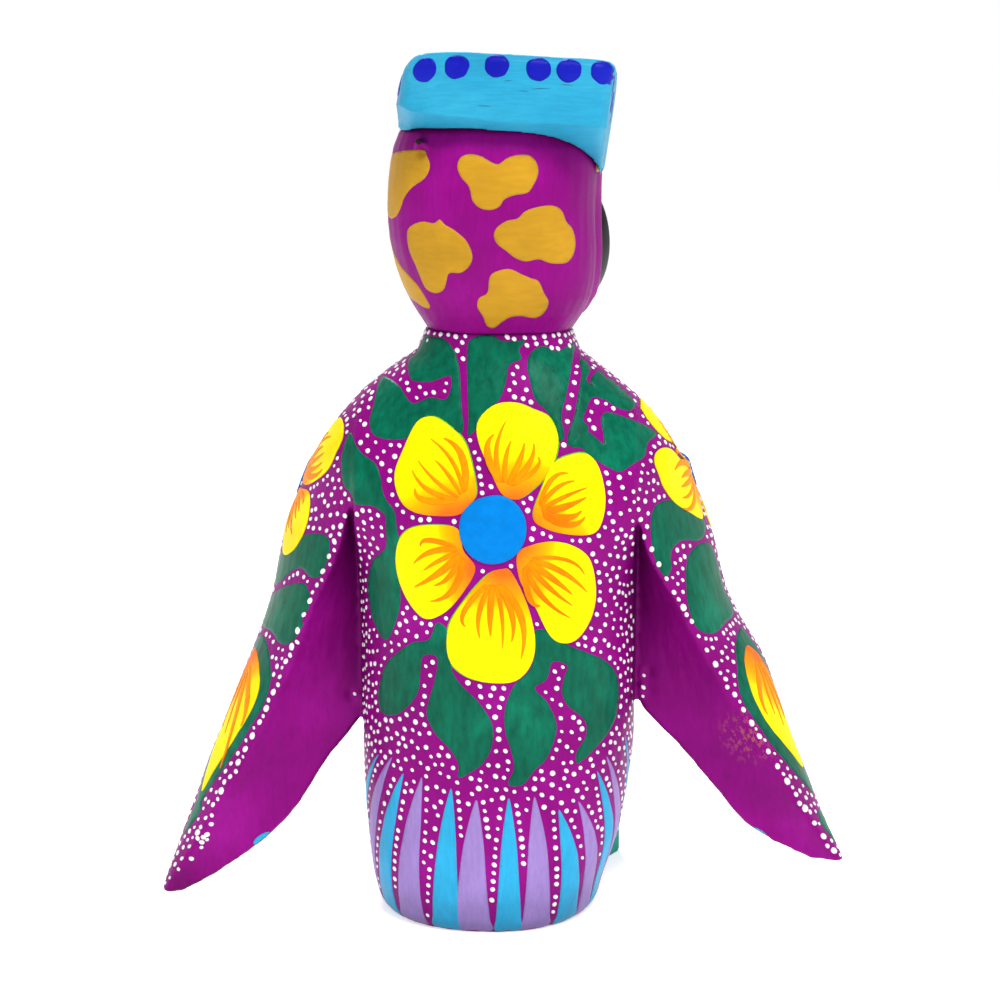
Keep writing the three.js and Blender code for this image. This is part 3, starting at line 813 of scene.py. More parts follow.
# Leaves on the back, seen from behind, from the neck down to the tail.
BACK_LEAVES = [
    [(12.5, 102), (9, 102), (7, 100), (6, 97), (5.5, 92), (5, 87.5), (6, 87), (8.5, 89),
     (11, 89.5), (13.5, 88), (14.5, 86), (17.5, 85.5), (20.5, 86), (21.5, 88), (21, 91),
     (20.5, 94.5), (19, 95), (16.5, 94), (14, 91.5), (11, 92.5), (8, 92.5), (7.5, 96),
     (11, 95), (14, 95), (15, 96), (15.5, 98.5), (15, 100.5)],
    [(4.4, 102), (1, 103), (-1.5, 102), (-5, 102), (-4, 100.5), (-4.5, 99), (-2.5, 98),
     (-2, 95.5), (-1, 92.5), (1.5, 90), (2.5, 88), (3.5, 87), (4.2, 86.5), (4.2, 89.5),
     (4.6, 95.5), (4.8, 98.5)],
    [(-6, 100), (-8, 101), (-10.5, 100), (-13, 101), (-13, 98.5), (-12.5, 95), (-12, 92.5),
     (-11.5, 90.5), (-11.5, 89), (-12, 86.5), (-11, 85.5), (-10.5, 88), (-9, 90.5),
     (-7, 92.5), (-6, 95.5), (-5.5, 98)],
    [(-14, 100.5), (-15.5, 99), (-16, 96.5), (-15.5, 95), (-19, 93), (-18.5, 92),
     (-16.5, 92.5), (-15.5, 90.5), (-15, 89), (-16, 87.5), (-13, 85), (-12.5, 86.5),
     (-13.5, 89.5), (-14, 92.5), (-14.5, 96), (-14, 98.5)],
    [(-16, 95), (-17.5, 96.5), (-18.5, 97.5), (-21.5, 95), (-24, 92), (-23.5, 90),
     (-22, 90), (-20, 91), (-18, 92.5)],
    [(-13, 85), (-15, 87.5), (-18, 85.5), (-18.5, 85), (-18.5, 86.5), (-18, 89), (-19, 90),
     (-22, 89), (-25, 87.5), (-27.5, 85.5), (-26, 84.5), (-25.5, 82.5), (-23.5, 81.5),
     (-21.5, 80.5), (-20, 81), (-17.5, 82.5), (-16, 83.5), (-15, 84.5)],
    [(25, 86), (24, 84.5), (22.5, 83), (20, 81.5), (19, 79.5), (18.5, 77), (17.5, 75),
     (16.5, 73), (17, 72), (18.5, 73.5), (20.5, 74.5), (23.5, 74.5), (24.5, 76),
     (26, 77.5), (26.5, 81), (26, 84)],
    [(18, 75), (16.5, 74), (16, 71), (15.5, 68), (16.5, 65.5), (16, 63), (15.5, 59),
     (16.5, 54.5), (18.5, 51), (21, 54), (22, 59), (21, 64), (19.5, 66), (18, 68)],
    [(9, 55.5), (7, 54), (6.5, 50), (6.5, 47.5), (5, 45), (2, 42), (0, 39), (-0.5, 36.5),
     (0, 33.5), (1.5, 31), (3.5, 29.5), (5.5, 28.5), (5.5, 31), (7, 33.5), (9.5, 36),
     (11, 39), (10.5, 42), (9.5, 45.5), (9, 49.5), (11.5, 49.5), (12, 46.5), (12.5, 43),
     (14.5, 40), (17, 38), (19.5, 38), (20, 41.5), (18.5, 46.5), (16.5, 49),
     (13.5, 51.5), (10.5, 52.5)],
    [(-7.5, 54.5), (-10.5, 54), (-12.5, 52), (-16, 50), (-19, 48), (-21, 45), (-21.5, 41),
     (-21, 37), (-19.5, 34.5), (-17, 32), (-15, 30.5), (-14.5, 30.5), (-14.5, 32.5),
     (-16, 35), (-16, 37.5), (-15, 39), (-13, 41), (-12, 43.5), (-12.5, 46.5), (-13, 48),
     (-10.5, 49), (-9.5, 46), (-7.5, 44.5), (-9.5, 42), (-11, 38.5), (-11, 36),
     (-9.5, 32), (-7.5, 30), (-5.5, 27.5), (-3, 27.5), (-4, 30.5), (-3.5, 33.5),
     (-2.5, 37), (-2.5, 41), (-4, 45), (-6.5, 47.5), (-7.5, 50.5)],
    [(27, 97), (25.5, 94.5), (23, 92.5), (22, 94), (20.3, 97.3), (22.5, 98)],
    [(19.8, 101.2), (20, 99), (18.5, 97.5), (16, 98), (15.8, 100.3), (17.2, 101.8)],
]

# Ochre spots on the back of the head, seen from behind.
HEAD_SPOTS = [
    [(5.9, 131.3), (5.4, 132.8), (4, 133.4), (2, 133.1), (0.2, 132.1), (-1, 131.8),
     (-2.4, 132.8), (-4.3, 133.3), (-6.2, 133.1), (-7.3, 131.7), (-7.4, 130), (-6.6, 128.2),
     (-5.7, 127.1), (-3.5, 126.7), (-1.9, 126), (-1.2, 124.9), (0.3, 124.3), (2, 124.6),
     (3.3, 125.8), (3.9, 128.1), (5.2, 129.6)],
    [(14.8, 120.2), (14, 121.4), (12, 122.2), (9.9, 122), (8.9, 122.7), (8, 121.8),
     (6.5, 121), (4.4, 119.2), (3.4, 116.7), (4, 114.9), (5.5, 113.8), (7.4, 113.7),
     (8, 112.1), (8.5, 110.8), (9.9, 110.1), (11.6, 110.7), (12.5, 112.4), (13.4, 114.8),
     (14.5, 117.3)],
    [(-0.2, 120), (-0.7, 121.4), (-2.3, 122.5), (-4.1, 122.9), (-5.4, 124.1), (-7.6, 124.8),
     (-9.9, 124.9), (-11.3, 124), (-12, 122.2), (-13, 120.9), (-13.5, 118.6), (-13.1, 116.5),
     (-11.9, 115.3), (-9.4, 115.4), (-7.6, 116.1), (-5.5, 115.8), (-3.7, 116.4),
     (-2.2, 117.6), (-0.8, 118.7)],
    [(1, 110.5), (0.5, 113.3), (-1.1, 114.3), (-2.9, 114.5), (-4.6, 113.7), (-6.3, 112.9),
     (-7.5, 112.4), (-8.4, 110.3), (-9.1, 108.7), (-8.3, 106.9), (-6.8, 106), (-4.6, 106.4),
     (-2.7, 106.2), (-1.2, 105.3), (0.2, 104.2), (1.4, 104.7), (1.9, 106.3), (2.8, 107.9),
     (2.5, 109.5)],
]

# Two more at the left side, as degrees round the head and height.
HEAD_SIDE_SPOTS = [
    [(110, 130), (94, 132.2), (75, 133.2), (48, 134), (40, 133.5), (35.5, 131.5), (38, 129.4),
     (45.6, 127.9), (51.7, 126.1), (55.3, 124), (61, 122.7), (72, 122.4), (90, 124.5)],
    [(98, 119), (86, 120), (75, 116.8), (65.4, 114.5), (53.8, 112.2), (48.9, 110.3),
     (46.4, 107.8), (51.2, 107.2), (62.4, 108.2), (80, 109.6), (97, 113)],
]

# Feather strokes round the foot of the body: colour, degrees round the body at the base and at the
# tip, height of the tip, and width at the base in millimetres.
TAIL_STROKES = [
    ("sky", 94, 54, 30, 4.6), ("lilac", 74, 44.8, 30.4, 5.6), ("sky", 56, 38.6, 28, 5.4),
    ("lilac", 39, 29.4, 28, 5.4), ("sky", 20.5, 16.6, 26.6, 5.2), ("lilac", 8.6, 6, 24.8, 6.2),
    ("sky", -8, -7.7, 25.2, 4.6), ("lilac", -21.7, -18.5, 25.3, 5.4),
    ("sky", -40, -29, 22.6, 5.4), ("lilac", -55, -38, 23.6, 5.2),
    ("sky", -69, -47, 28.3, 5), ("lilac", -80, -52, 30.6, 4.8),
    ("sky", -96, -66, 33, 4.2),
]
FRONT_STROKES = 9
BODY_RADIUS = 21.5


def tail_stroke(base, tip, height, width):
    """A tall stroke in the chart round the body, flared at its foot and bent at its tip."""
    per_mm = math.degrees(1 / BODY_RADIUS)
    sides = [(0.0, 1.0), (0.1, 0.96), (0.25, 0.84), (0.45, 0.69), (0.65, 0.54), (0.82, 0.33),
             (0.93, 0.16)]
    low = 0.3
    mid = lambda t: base + (tip - base) * t ** 1.7
    left = [(mid(t) - w * width / 2 * per_mm, low + (height - low) * t) for t, w in sides]
    right = [(mid(t) + w * width / 2 * per_mm, low + (height - low) * t) for t, w in sides]
    return left + [(tip, height)] + right[::-1]


def paint_tail(tree, films):
    per_mm = math.degrees(1 / BODY_RADIUS)
    for colour, base, tip, height, width in TAIL_STROKES:
        films[colour].add(tree, around, tail_stroke(base, tip, height, width),
                          squeeze=per_mm)
    for k in range(FRONT_STROKES):
        angle = 124 + (112 / (FRONT_STROKES - 1)) * k
        colour = "lilac" if k % 2 == 0 else "sky"
        height = 26 + 4 * math.sin(1.7 * k)
        films[colour].add(tree, around, tail_stroke(angle, angle, height, 4.4),
                          squeeze=per_mm)


def paint_flower(films, tree, chart, centre, petals, radius, leans=(), limes=(), only=None):
    """Petals given as outlines, with orange brushed out from the centre, and an eye."""
    for k, outline in enumerate(petals):
        if k < len(limes) and any(limes[k]):
            films["lime"].add(tree, chart, np.array(outline) + np.array(limes[k]),
                              only=only)
        middle = np.mean(np.array(outline), axis=0)
        reach = np.array(centre) + (middle - np.array(centre)) * 1.75
        lean = leans[k] if k < len(leans) else 0.4 * math.sin(2.3 * k)
        films["yellow"].add(tree, chart, outline, step=FINE_STEP, thick=PAINT * 1.5,
                            value=brushed(centre, reach, lean), only=only, over=ON_LEAF)
        petal_strokes(films, tree, chart, centre, outline, only=only)
    films["blue"].add(tree, chart, circle(centre, radius, 0.025), thick=PAINT * 1.5,
                      only=only, over=ON_PETAL)


def round_flower(centre, count, reach, start, width, turn):
    return [petal(centre, turn + 2 * math.pi * k / count, reach, start, width)
            for k in range(count)]


def paint_back(tree, films):
    for outline in BACK_LEAVES:
        films["green"].add(tree, from_behind, outline)
    paint_flower(films, tree, from_behind, FLOWER_CENTRE, BACK_PETALS, 5.7, PETAL_LEAN,
                 PETAL_LIME)


def paint_chest(tree, films):
    """The unseen front: a smaller flower with leaves above and below it."""
    centre = (0.0, 66.0)
    for side in (1, -1):
        for base, tip, width, bend in (
                ((4, 80), (13, 92), 7, -1.5), ((10, 74), (20, 84), 8, -2),
                ((12, 62), (21, 70), 7, -2), ((5, 53), (13, 38), 8, 2),
                ((12, 56), (20, 45), 7, 2), ((2, 84), (5, 98), 6, -0.5)):
            films["green"].add(tree, from_front,
                               leaf((side * base[0], base[1]), (side * tip[0], tip[1]),
                                    width, side * bend))
    paint_flower(films, tree, from_front, centre,
                 round_flower(centre, 6, 15.5, 4.6, 11.5, math.pi / 2), 4.6)


# Motifs on the outer face of each wing, as (depth, height) from the side: leaves, the two
# petals that reach round to the back, the middle of their flower, and the long feather
# leaf with its yellow heart.
WING_MOTIFS = {
    1: {"leaves": [
            [(12.2, 67.8), (13, 64), (12.4, 61), (10.4, 60.4), (8, 61.4), (5.2, 60.4),
             (1, 57.5), (-4, 56), (-7, 57.5), (-5, 61), (-1, 62.8), (3, 65), (7.3, 67.4)],
            [(9, 59), (4.7, 57.6), (-0.7, 55.2), (-5, 53), (-6.5, 50), (-3, 48.6), (3.8, 49),
             (8.4, 47.8), (11, 49.2), (12, 52.2), (12, 55.7), (11, 58)]],
        "petals": [
            [(-4.5, 78), (-1, 83), (3, 87.2), (6.6, 87.2), (9.4, 85.4), (10.4, 82.2),
             (8.8, 79), (5, 76.4), (0.8, 75), (-3.5, 75.5)],
            [(-5, 73), (-1, 74), (3.8, 74.2), (6, 71), (6, 67), (4, 63.8), (0.2, 62.2),
             (-3, 63.5), (-5.5, 68)]],
        "flower": (-8.5, 75.5),
        "long": [(-1.9, 46.8), (2, 47.3), (5.8, 45.4), (8.6, 41.4), (9.2, 37), (8.5, 31.7),
                 (7.6, 25.3), (6.2, 20), (5.8, 16.4), (4.2, 17), (1.5, 20), (-2, 27),
                 (-4.6, 36), (-4.5, 43)],
        "heart": [(-1.6, 44.6), (2, 44), (4.8, 42), (6.8, 39.4), (7.3, 35.2), (6.3, 29.6),
                  (5.2, 23.5), (4.4, 19.4), (2.6, 21), (-0.5, 27), (-2.9, 34), (-3, 41)]},
    -1: {"leaves": [
            [(12.3, 73), (9, 74.4), (4.2, 73.2), (-0.6, 71), (-3.5, 68.5), (-0.6, 66.6),
             (2.4, 66.2), (6.8, 67), (9.8, 66), (11, 62.8), (12.8, 62), (13.4, 67.5)],
            [(6.1, 64.4), (1.4, 65.6), (-3, 64.2), (-4.5, 60.5), (-4, 56), (-5, 53.5),
             (-2.6, 52), (2.5, 51.6), (7.8, 50.8), (10.6, 52.3), (10.8, 55.6), (8.9, 60.4)]],
         "petals": [
             [(2.6, 91), (4.6, 89.2), (5.2, 86.9), (3.6, 84.4), (0, 83), (-4.5, 81),
              (-7.5, 82), (-7, 86), (-4, 89.5), (-0.5, 91)],
             [(8.2, 83), (4.5, 82.8), (1, 80.6), (-3, 78), (-6, 76), (-7, 73), (-5, 70.8),
              (-2.2, 69.2), (2.9, 71.5), (6.8, 74), (9.6, 78), (10.2, 81.3)]],
         "flower": (-10.5, 77.5),
         "long": [(-3.7, 49), (1, 49), (4, 47.4), (6.3, 45.2), (8.8, 41.4), (9.2, 38),
                  (8.5, 33.9), (7.6, 29.2), (5.8, 24.8), (3, 21), (0, 21.5), (-3, 26),
                  (-4.6, 33), (-5, 42)],
         "heart": [(-0.5, 46.8), (3.5, 45.6), (5.8, 42.6), (6.6, 38.7), (6.2, 34.2),
                   (4.4, 29.8), (2, 25.5), (0, 26), (-1.8, 31), (-3, 37), (-3, 43)]},
}


def paint_wing(tree, films, side):
    """The outer face, seen from the side: a flower, leaves and a long feather petal."""
    chart = from_side(side)
    outer = lambda hit, normal: side * hit.x > ROOT_X + 0.3 and side * normal.x > 0.3
    motifs = WING_MOTIFS[side]
    for outline in motifs["leaves"]:
        films["green"].add(tree, chart, outline, only=outer)
    films["green"].add(tree, chart, leaf((-8, 61), (-13, 48), 6, -1.5), only=outer)
    films["green"].add(tree, chart, leaf((5, 18.5), (4.4, 11), 3.4, 0.5), only=outer)
    centre = motifs["flower"]
    petals = motifs["petals"] + [petal(centre, math.radians(angle), reach, 3.6, width)
                                 for angle, reach, width in ((98, 12, 8.5), (158, 7.4, 6.5),
                                                             (208, 7, 6.5), (262, 12, 8.5))]
    paint_flower(films, tree, chart, centre, petals, 3.7, only=outer)
    films["green"].add(tree, chart, motifs["long"], only=outer)
    heart = motifs["heart"]
    top, foot = (heart[0][0] - 1, heart[0][1] + 4), (4.5, 20)
    films["yellow"].add(tree, chart, heart, step=FINE_STEP, thick=PAINT * 1.5,
                        value=brushed(top, foot, -0.9), only=outer, over=ON_LEAF)
    petal_strokes(films, tree, chart, top, heart, 4, only=outer)


def paint_wing_front(tree, films, side, edge):
    """Feather strokes on the hollow front face, wide at the lower edge."""
    front = lambda hit, normal: (side * hit.x > 24.5 and normal.y < -0.45
                                 and side * normal.x < 0.45)
    count = 9
    for k in range(count):
        t = k / (count - 1)
        x = np.interp(t, [0, 0.25, 0.5, 0.75, 1], [p[0] for p in edge])
        z = np.interp(t, [0, 0.25, 0.5, 0.75, 1], [p[1] for p in edge])
        rise, drift = 21 - 12 * t, 7.5 - 4.5 * t
        width = 4.2 - 1.2 * t
        outline = [(side * (x - width / 2), z - 1.6), (side * (x + width / 2), z - 3.4),
                   (side * (x + width * 0.42 + drift * 0.4), z + rise * 0.45),
                   (side * (x + drift), z + rise),
                   (side * (x - width * 0.42 + drift * 0.4), z + rise * 0.5)]
        films["sky" if k % 2 == 0 else "lilac"].add(tree, from_front, outline, only=front)
    # One stroke end wraps under the lower edge and shows from behind.
    x, z = (42.6, 11.4) if side > 0 else (46.6, 14.4)
    wrap = [(side * (x - 1.6), z + 0.9), (side * (x + 0.2), z + 0.5), (side * (x + 1.5), z - 1),
            (side * (x + 0.6), z - 2.6), (side * (x - 1.4), z - 1.6)]
    films["sky"].add(tree, from_behind, wrap, step=0.35)


def paint_head(tree, films):
    for outline in HEAD_SPOTS:
        films["ochre"].add(tree, from_behind, outline)
    for outline in HEAD_SIDE_SPOTS:
        films["ochre"].add(tree, around, outline, squeeze=math.degrees(1 / 18))
    films["ochre"].add(tree, from_side(-1), circle((-1.5, 132.2), 2.4, 0.12))


def paint_brow(tree, films):
    """Blue dots along the top of the back, the ends and the front edge, and old cracks."""
    for x, z in ((11.2, 147.4), (5.8, 147.5), (-0.8, 147.5), (-7.6, 147), (-12.6, 146.9),
                 (-18.1, 146.8)):
        films["deep_blue"].add(tree, from_above_behind, circle((x, z), 2.05, 0.05),
                               thick=PAINT * 1.5)
    for side in (1, -1):
        for y, z in ((11.8, 144.6), (5.5, 143.6), (-1, 141.8), (-7, 139.8)):
            films["deep_blue"].add(tree, turned(from_side(side)), circle((y, z), 1.9, 0.06))
    for x, z in ((-15, 141.6), (-12, 139), (-7.5, 137), (-3.4, 134.2), (0, 131),
                 (3.4, 134.2), (7.5, 137), (12, 139), (15, 141.6)):
        films["deep_blue"].add(tree, turned(from_front), circle((x, z), 1.7, 0.06))
    for x, z, long, drop in ((-8, 144.1, 3.4, -0.4), (-5.2, 143.6, 1.8, 0.2),
                             (-12.2, 144.6, 2.2, 0.5), (1.2, 141.2, 2.4, 0.3),
                             (-2.6, 145.3, 1.6, -0.2)):
        hair = [(x - long / 2, z), (x, z + 0.07 + drop * 0.1), (x + long / 2, z + drop * 0.4),
                (x, z - 0.05 + drop * 0.1)]
        films["crack"].add(tree, from_behind, hair, step=0.18, thick=0.012)


# ---- white dots -----------------------------------------------------------------------------

DOT_SIDES = 9
CELL = 2.0               # width of the boxes that neighbouring dots are looked up in
DOT_GAP = 1.42           # least distance between sprinkled dots
BODY_TRIES = 42000
WING_TRIES = 14000
COLLAR = ((0, 46, 102.7), (1, 50, 101.5), (2, 50, 100.3))      # row, dots and height
DOME = ((1.0, 0.0), (0.8, 0.55), (0.42, 0.9))      # radius and height of each ring


class Dots:
    """Raised paint dots that keep clear of each other and of the painted motifs."""

    def __init__(self, tree, motifs):
        self.tree, self.places, self.cells = tree, [], {}
        marks = [p for films in motifs for p in films.points]
        self.motifs = KDTree(max(1, len(marks)))
        for i, p in enumerate(marks):
            self.motifs.insert(Vector(p), i)
        self.motifs.balance()

    def _cell(self, p):
        return tuple(int(math.floor(c / CELL)) for c in p)

    def free(self, p, gap):
        cx, cy, cz = self._cell(p)
        for x in (cx - 1, cx, cx + 1):
            for y in (cy - 1, cy, cy + 1):
                for z in (cz - 1, cz, cz + 1):
                    for other in self.cells.get((x, y, z), ()):
                        if (other - p).length < gap:
                            return False
        return True

    def put(self, p, gap, clear, radius=DOT):
        """Adds a dot at the skin point nearest to p, if there is room for it."""
        hit, normal, _, _ = self.tree.find_nearest(p)
        if hit is None or not self.free(hit, gap):
            return False
        if self.motifs.find(hit)[2] < clear:
            return False
        size = radius * random.uniform(0.8, 1.2)
        self.places.append((hit, normal, size))
        self.cells.setdefault(self._cell(hit), []).append(hit)
        return True

    def show(self, name, colour="white"):
        points, faces = [], []
        for place, normal, size in self.places:
            side = normal.orthogonal().normalized()
            up = normal.cross(side)
            squash = random.uniform(0.68, 1.0)
            turn = random.uniform(0, math.pi)
            start = len(points)
            for ring, (radius, height) in enumerate(DOME):
                for k in range(DOT_SIDES):
                    a = turn + 2 * math.pi * k / DOT_SIDES
                    flat = side * math.cos(a) * size * radius
                    flat += up * math.sin(a) * size * radius * squash
                    sink = -0.08 if ring == 0 else 0.05
                    points.append((place + flat + normal * (sink + 0.26 * size * height))[:])
            points.append((place + normal * (0.05 + 0.28 * size))[:])
            for ring in range(len(DOME) - 1):
                for k in range(DOT_SIDES):
                    a = start + ring * DOT_SIDES + k
                    b = start + ring * DOT_SIDES + (k + 1) % DOT_SIDES
                    faces.append((a, b, b + DOT_SIDES, a + DOT_SIDES))
            last = start + (len(DOME) - 1) * DOT_SIDES
            hub = start + len(DOME) * DOT_SIDES
            for k in range(DOT_SIDES):
                faces.append((last + k, last + (k + 1) % DOT_SIDES, hub))
            faces.append(tuple(start + k for k in range(DOT_SIDES))[::-1])
        return show(name, np.array(points), faces, colour)


def sprinkle(dots, points, faces, allowed, tries):
    """Random places on a skin, kept where the rule allows a dot."""
    corners = points[np.array([f[:3] for f in faces])]
    normals = np.cross(corners[:, 1] - corners[:, 0], corners[:, 2] - corners[:, 0])
    areas = np.linalg.norm(normals, axis=1)
    normals /= areas[:, None] + 1e-12
    ok = allowed(corners.mean(axis=1), normals)
    chosen = np.flatnonzero(ok)
    weights = np.cumsum(areas[chosen])
    for _ in range(tries):
        pick = chosen[int(np.searchsorted(weights, random.random() * weights[-1]))]
        a, b = random.random(), random.random()
        if a + b > 1:
            a, b = 1 - a, 1 - b
        p = corners[pick, 0] * (1 - a - b) + corners[pick, 1] * a + corners[pick, 2] * b
        dots.put(Vector(p), DOT_GAP * random.uniform(0.92, 1.2), 0.78)


def follow_rims(dots, films, allowed):
    """Rows of dots that trace round the painted leaves and petals."""
    out, spacing = 0.95, 1.65
    for film in films:
        travelled = 0.0
        for p, q in film.rims:
            p, q = Vector(p), Vector(q)
            travelled += (q - p).length
            if travelled < spacing * 0.5:
                continue
            hit, normal, _, _ = dots.tree.find_nearest(p)
            outward = (q - p).cross(normal)
            if hit is None or outward.length < 1e-6:
                continue
            place = p + outward.normalized() * out
            if allowed(np.array([place[:]]), np.array([normal[:]]))[0]:
                if dots.put(place, spacing * 0.85, 0.66):
                    travelled = 0.0


def on_body(points, _normals):
    x, z = np.abs(points[:, 0]), points[:, 2]
    return (x < ROOT_X - 0.4) & (z > 1.2) & (z < 102.2)


def on_wing(side):
    def rule(points, normals):
        return (side * points[:, 0] > ROOT_X + 0.4) & (side * normals[:, 0] > 0.34)
    return rule


# Rear ridge of each wing, from where it leaves the shoulder to the tip.
RIDGES = {
    1: [(26.4, 15.2, 70), (28.6, 14, 64), (33.2, 12.4, 54), (37.1, 11.6, 44.5),
        (41.8, 11, 34), (47.1, 10.6, 24), (51.8, 10.2, 16), (57.4, 9, 6.5)],
    -1: [(25.6, 15.5, 69), (29, 13.6, 62), (34, 12, 53), (38.4, 11.4, 45.5),
         (44, 10.8, 36.5), (50, 10.6, 26.5), (55.4, 10, 18.5), (59.4, 9, 12)],
}


def ridge_dots(dots, side):
    """A row of larger dots beside the ridge, and an untidy cluster near the left tip."""
    spacing, radius = 3.0, 0.68
    path = [Vector((side * x, y, z)) for x, y, z in RIDGES[side]]
    left = 0.0
    for a, b in zip(path, path[1:]):
        length = (b - a).length
        while left < length:
            p = a.lerp(b, left / length) + Vector((side * 0.9, -0.2, 0.4))
            dots.put(p, 1.3, 0.0, radius)
            left += spacing * random.uniform(0.9, 1.1)
        left -= length
    if side > 0:
        for _ in range(16):
            p = Vector((random.gauss(52.6, 1.1), 9.6, random.gauss(12.6, 1.6)))
            dots.put(p, 0.75, 0.0, random.uniform(0.4, 0.62))


def paint_dots(tree, points, faces, motifs):
    body = Dots(tree, motifs.values())
    for row, count, z in COLLAR:
        for k in range(count):
            angle = 2 * math.pi * (k + 0.5 * row + random.uniform(-0.2, 0.2)) / count
            body.put(Vector((13.4 * math.sin(angle), 12.4 * math.cos(angle),
                             z + random.uniform(-0.25, 0.25))), 1.1, 0.3, 0.5)
    rims = [motifs[k] for k in ("yellow", "blue", "green", "sky", "lilac")]
    follow_rims(body, rims, on_body)
    sprinkle(body, points, faces, on_body, BODY_TRIES)
    body.show("body_dots")
    for side, name in ((1, "wing_left_dots"), (-1, "wing_right_dots")):
        wing = Dots(tree, motifs.values())
        ridge_dots(wing, side)
        rule = on_wing(side)
        follow_rims(wing, rims, rule)
        sprinkle(wing, points, faces, rule, WING_TRIES)
        wing.show(name)


# ---- eyes -----------------------------------------------------------------------------------


def eye_frame(side):
    """Places a point given as across, out of the face and up on one eye disc."""
    turn = math.radians(side * EYE_TURN)

    def place(across, out, up):
        x = across * math.cos(turn) + out * math.sin(turn) + side * EYE_CENTRE[0] + FACE_X
        y = across * math.sin(turn) - out * math.cos(turn) + EYE_CENTRE[1]
        return (*with_head(x, y), up * EYE_TALL + EYE_CENTRE[2])
    return place


def lathe(place, profile, count=72, drift=0.0):
    """A closed turned shape: the profile runs from the back centre to the front centre."""
    points, faces = [], []
    for radius, out in profile[1:-1]:
        for k in range(count):
            a = 2 * math.pi * k / count
            r = radius * (1 + drift * math.sin(3 * a + radius))
            points.append(place(r * math.cos(a), out, r * math.sin(a)))
    back, front = len(points), len(points) + 1
    points += [place(0, profile[0][1], 0), place(0, profile[-1][1], 0)]
    rings = len(profile) - 2
    for k in range(count):
        n = (k + 1) % count
        faces.append((k, n, back))
        for r in range(rings - 1):
            faces.append((r * count + k, (r + 1) * count + k, (r + 1) * count + n,
                          r * count + n))
        faces.append(((rings - 1) * count + n, (rings - 1) * count + k, front))
    return np.array(points), faces


def dome(radius, low, high, steps=7):
    """Profile of a shallow dome with a soft edge."""
    curve = [(radius * math.cos(math.pi / 2 * k / steps),
              low + (high - low) * math.sin(math.pi / 2 * k / steps)) for k in range(steps)]
    return curve + [(0, high)]


def nail(name, tree, near, radius):
    """A small nail whose head lies flush in the skin at the point nearest to a place."""
    hit, normal, _, _ = tree.find_nearest(Vector(near))
    side = normal.orthogonal().normalized()
    up = normal.cross(side)
    place = lambda across, out, v: tuple(hit + side * across + up * v + normal * out)
    profile = [(0, -5), (0.3, -4.2), (0.4, -0.6), (radius * 0.9, -0.3), (radius, 0.0)]
    profile += dome(radius * 0.95, 0.03, 0.16, 4)
    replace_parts(show(name + "_nail", *lathe(place, profile, 24), "steel"), name)


def make_eye(side, name):
    """A black disc with a yellow ring, a pupil, two glints and a ring of white dots."""
    place = eye_frame(side)
    rim = EYE_RADIUS
    disc = [(0, 0), (rim * 0.97, 0), (rim, 0.3)] + dome(rim, 2.4, 4.1, 10)
    eye = show(name + "_disc", *lathe(place, disc, 96, 0.006), "black")
    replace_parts(eye, name)
    iris = [(0, 3.0), (rim * 0.70, 3.2)] + dome(rim * 0.71, 3.3, 4.28, 8)
    ring = show(name + "_iris", *lathe(place, iris, 96, 0.01), "yellow")
    amounts = []
    for vertex in ring.data.vertices:
        across = (vertex.co / MM - Vector(place(0, 4, 0))).length / rim
        streak = 0.5 + 0.5 * noise.noise(Vector((vertex.co / MM)) * 1.3)
        amounts.append(max(0.0, min(1.0, (0.66 - across) * 2.4 * streak)))
    layer = ring.data.attributes.new("orange", "FLOAT", "POINT")
    layer.data.foreach_set("value", amounts)
    pupil = [(0, 3.6), (rim * 0.38, 3.8)] + dome(rim * 0.38, 3.9, 4.75, 6)
    show(name + "_pupil", *lathe(place, pupil, 64), "black")
    # Two white spots are painted on each eye as highlights; the ring of white dots added after
    # them is decoration.
    highlights_and_dots = []
    for across, up, size in ((-1.3, 1.5, 0.75), (0.9, -1.6, 0.4)):
        spot = lambda a, out, u, x=across, z=up: place(a + x, out, u + z)
        highlights_and_dots.append(lathe(spot, [(0, 4.2), (size, 4.3)] + dome(size, 4.45, 4.85, 4), 24))
    count, ring_share = 26, 0.85
    out = 2.4 + 1.7 * math.sin(math.acos(ring_share))
    for k in range(count):
        a = 2 * math.pi * k / count
        x, z = rim * ring_share * math.cos(a), rim * ring_share * math.sin(a)
        spot = lambda p, q, r, x=x, z=z: place(p + x, q, r + z)
        highlights_and_dots.append(lathe(spot, [(0, out - 0.2), (0.42, out - 0.1)]
                            + dome(0.42, out, out + 0.22, 3), 14))
    show(name + "_dots", *joined(highlights_and_dots), "white")


# ---- build everything -----------------------------------------------------------------------


def new_films(colours):
    return {colour: Films() for colour in colours}


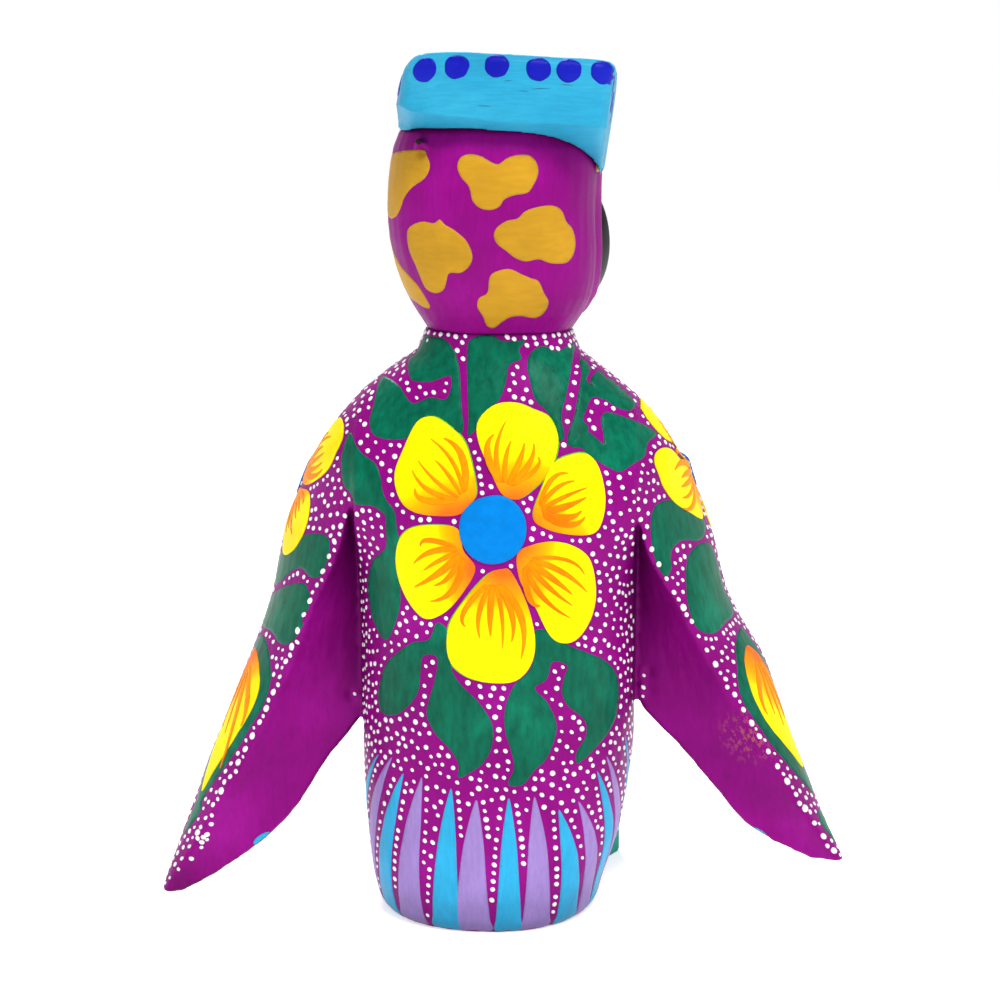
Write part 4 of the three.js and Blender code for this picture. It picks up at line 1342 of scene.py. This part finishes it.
def main():
    add_camera()
    add_light()
    body_tree, points, faces = body_and_wings()
    head_tree = head_wood()
    brow_tree = brow_wood()
    small_wood("beak", "ochre", 6, ["beak_peg"])
    small_wood("foot_left", "teal", 5, ["foot_peg_left"])
    small_wood("foot_right", "teal", 5, ["foot_peg_right"])
    for side, name in ((1, "eye_left"), (-1, "eye_right")):
        make_eye(side, name)
    nail("brad_left", body_tree, (24.9, 7, 37.4), 0.8)
    nail("brad_right_upper", body_tree, (-25, 7.5, 42.2), 0.8)
    nail("brad_right_lower", body_tree, (-25, 7.5, 39.4), 0.85)
    nail("brad_brow", head_tree, (12.5, 18, 135.6), 0.5)

    motifs = new_films(["green", "lime", "yellow", "orange", "blue", "sky", "lilac"])
    paint_back(body_tree, motifs)
    paint_chest(body_tree, motifs)
    paint_tail(body_tree, motifs)
    paint_wing(body_tree, motifs, 1)
    paint_wing(body_tree, motifs, -1)
    paint_wing_front(body_tree, motifs, 1,
                     [(26.5, 36), (31, 27.5), (37.5, 18), (44, 11.5), (52, 6)])
    paint_wing_front(body_tree, motifs, -1,
                     [(28, 38), (33, 31.5), (39.5, 23), (46.5, 16.5), (54, 13)])
    for colour, films in motifs.items():
        films.show("figure_" + colour, colour)
    head = new_films(["ochre"])
    paint_head(head_tree, head)
    head["ochre"].show("head_spots", "ochre")
    brow = new_films(["deep_blue", "crack"])
    paint_brow(brow_tree, brow)
    brow["deep_blue"].show("brow_dots", "deep_blue")
    brow["crack"].show("brow_cracks", "crack")
    paint_dots(body_tree, points, faces, motifs)

    for name, node in nodes.items():
        if "dowel" in name or "peg" in name:
            node.data.materials.clear()
            node.data.materials.append(COLOURS["bare_wood"])


def add_floor():
    size = 3.0
    data = bpy.data.meshes.new("floor")
    data.from_pydata([(-size, -size, 0), (size, -size, 0), (size, size, 0), (-size, size, 0)],
                     [], [(0, 1, 2, 3)])
    floor = bpy.data.objects.new("floor", data)
    bpy.context.scene.collection.objects.link(floor)
    material = bpy.data.materials.new("pale_floor")
    material.use_nodes = True
    shader = material.node_tree.nodes["Principled BSDF"]
    shader.inputs["Base Color"].default_value = (0.9, 0.9, 0.9, 1)
    shader.inputs["Roughness"].default_value = 0.9
    shader.inputs["Emission Color"].default_value = (1, 1, 1, 1)
    shader.inputs["Emission Strength"].default_value = 0.6
    data.materials.append(material)


main()
add_floor()
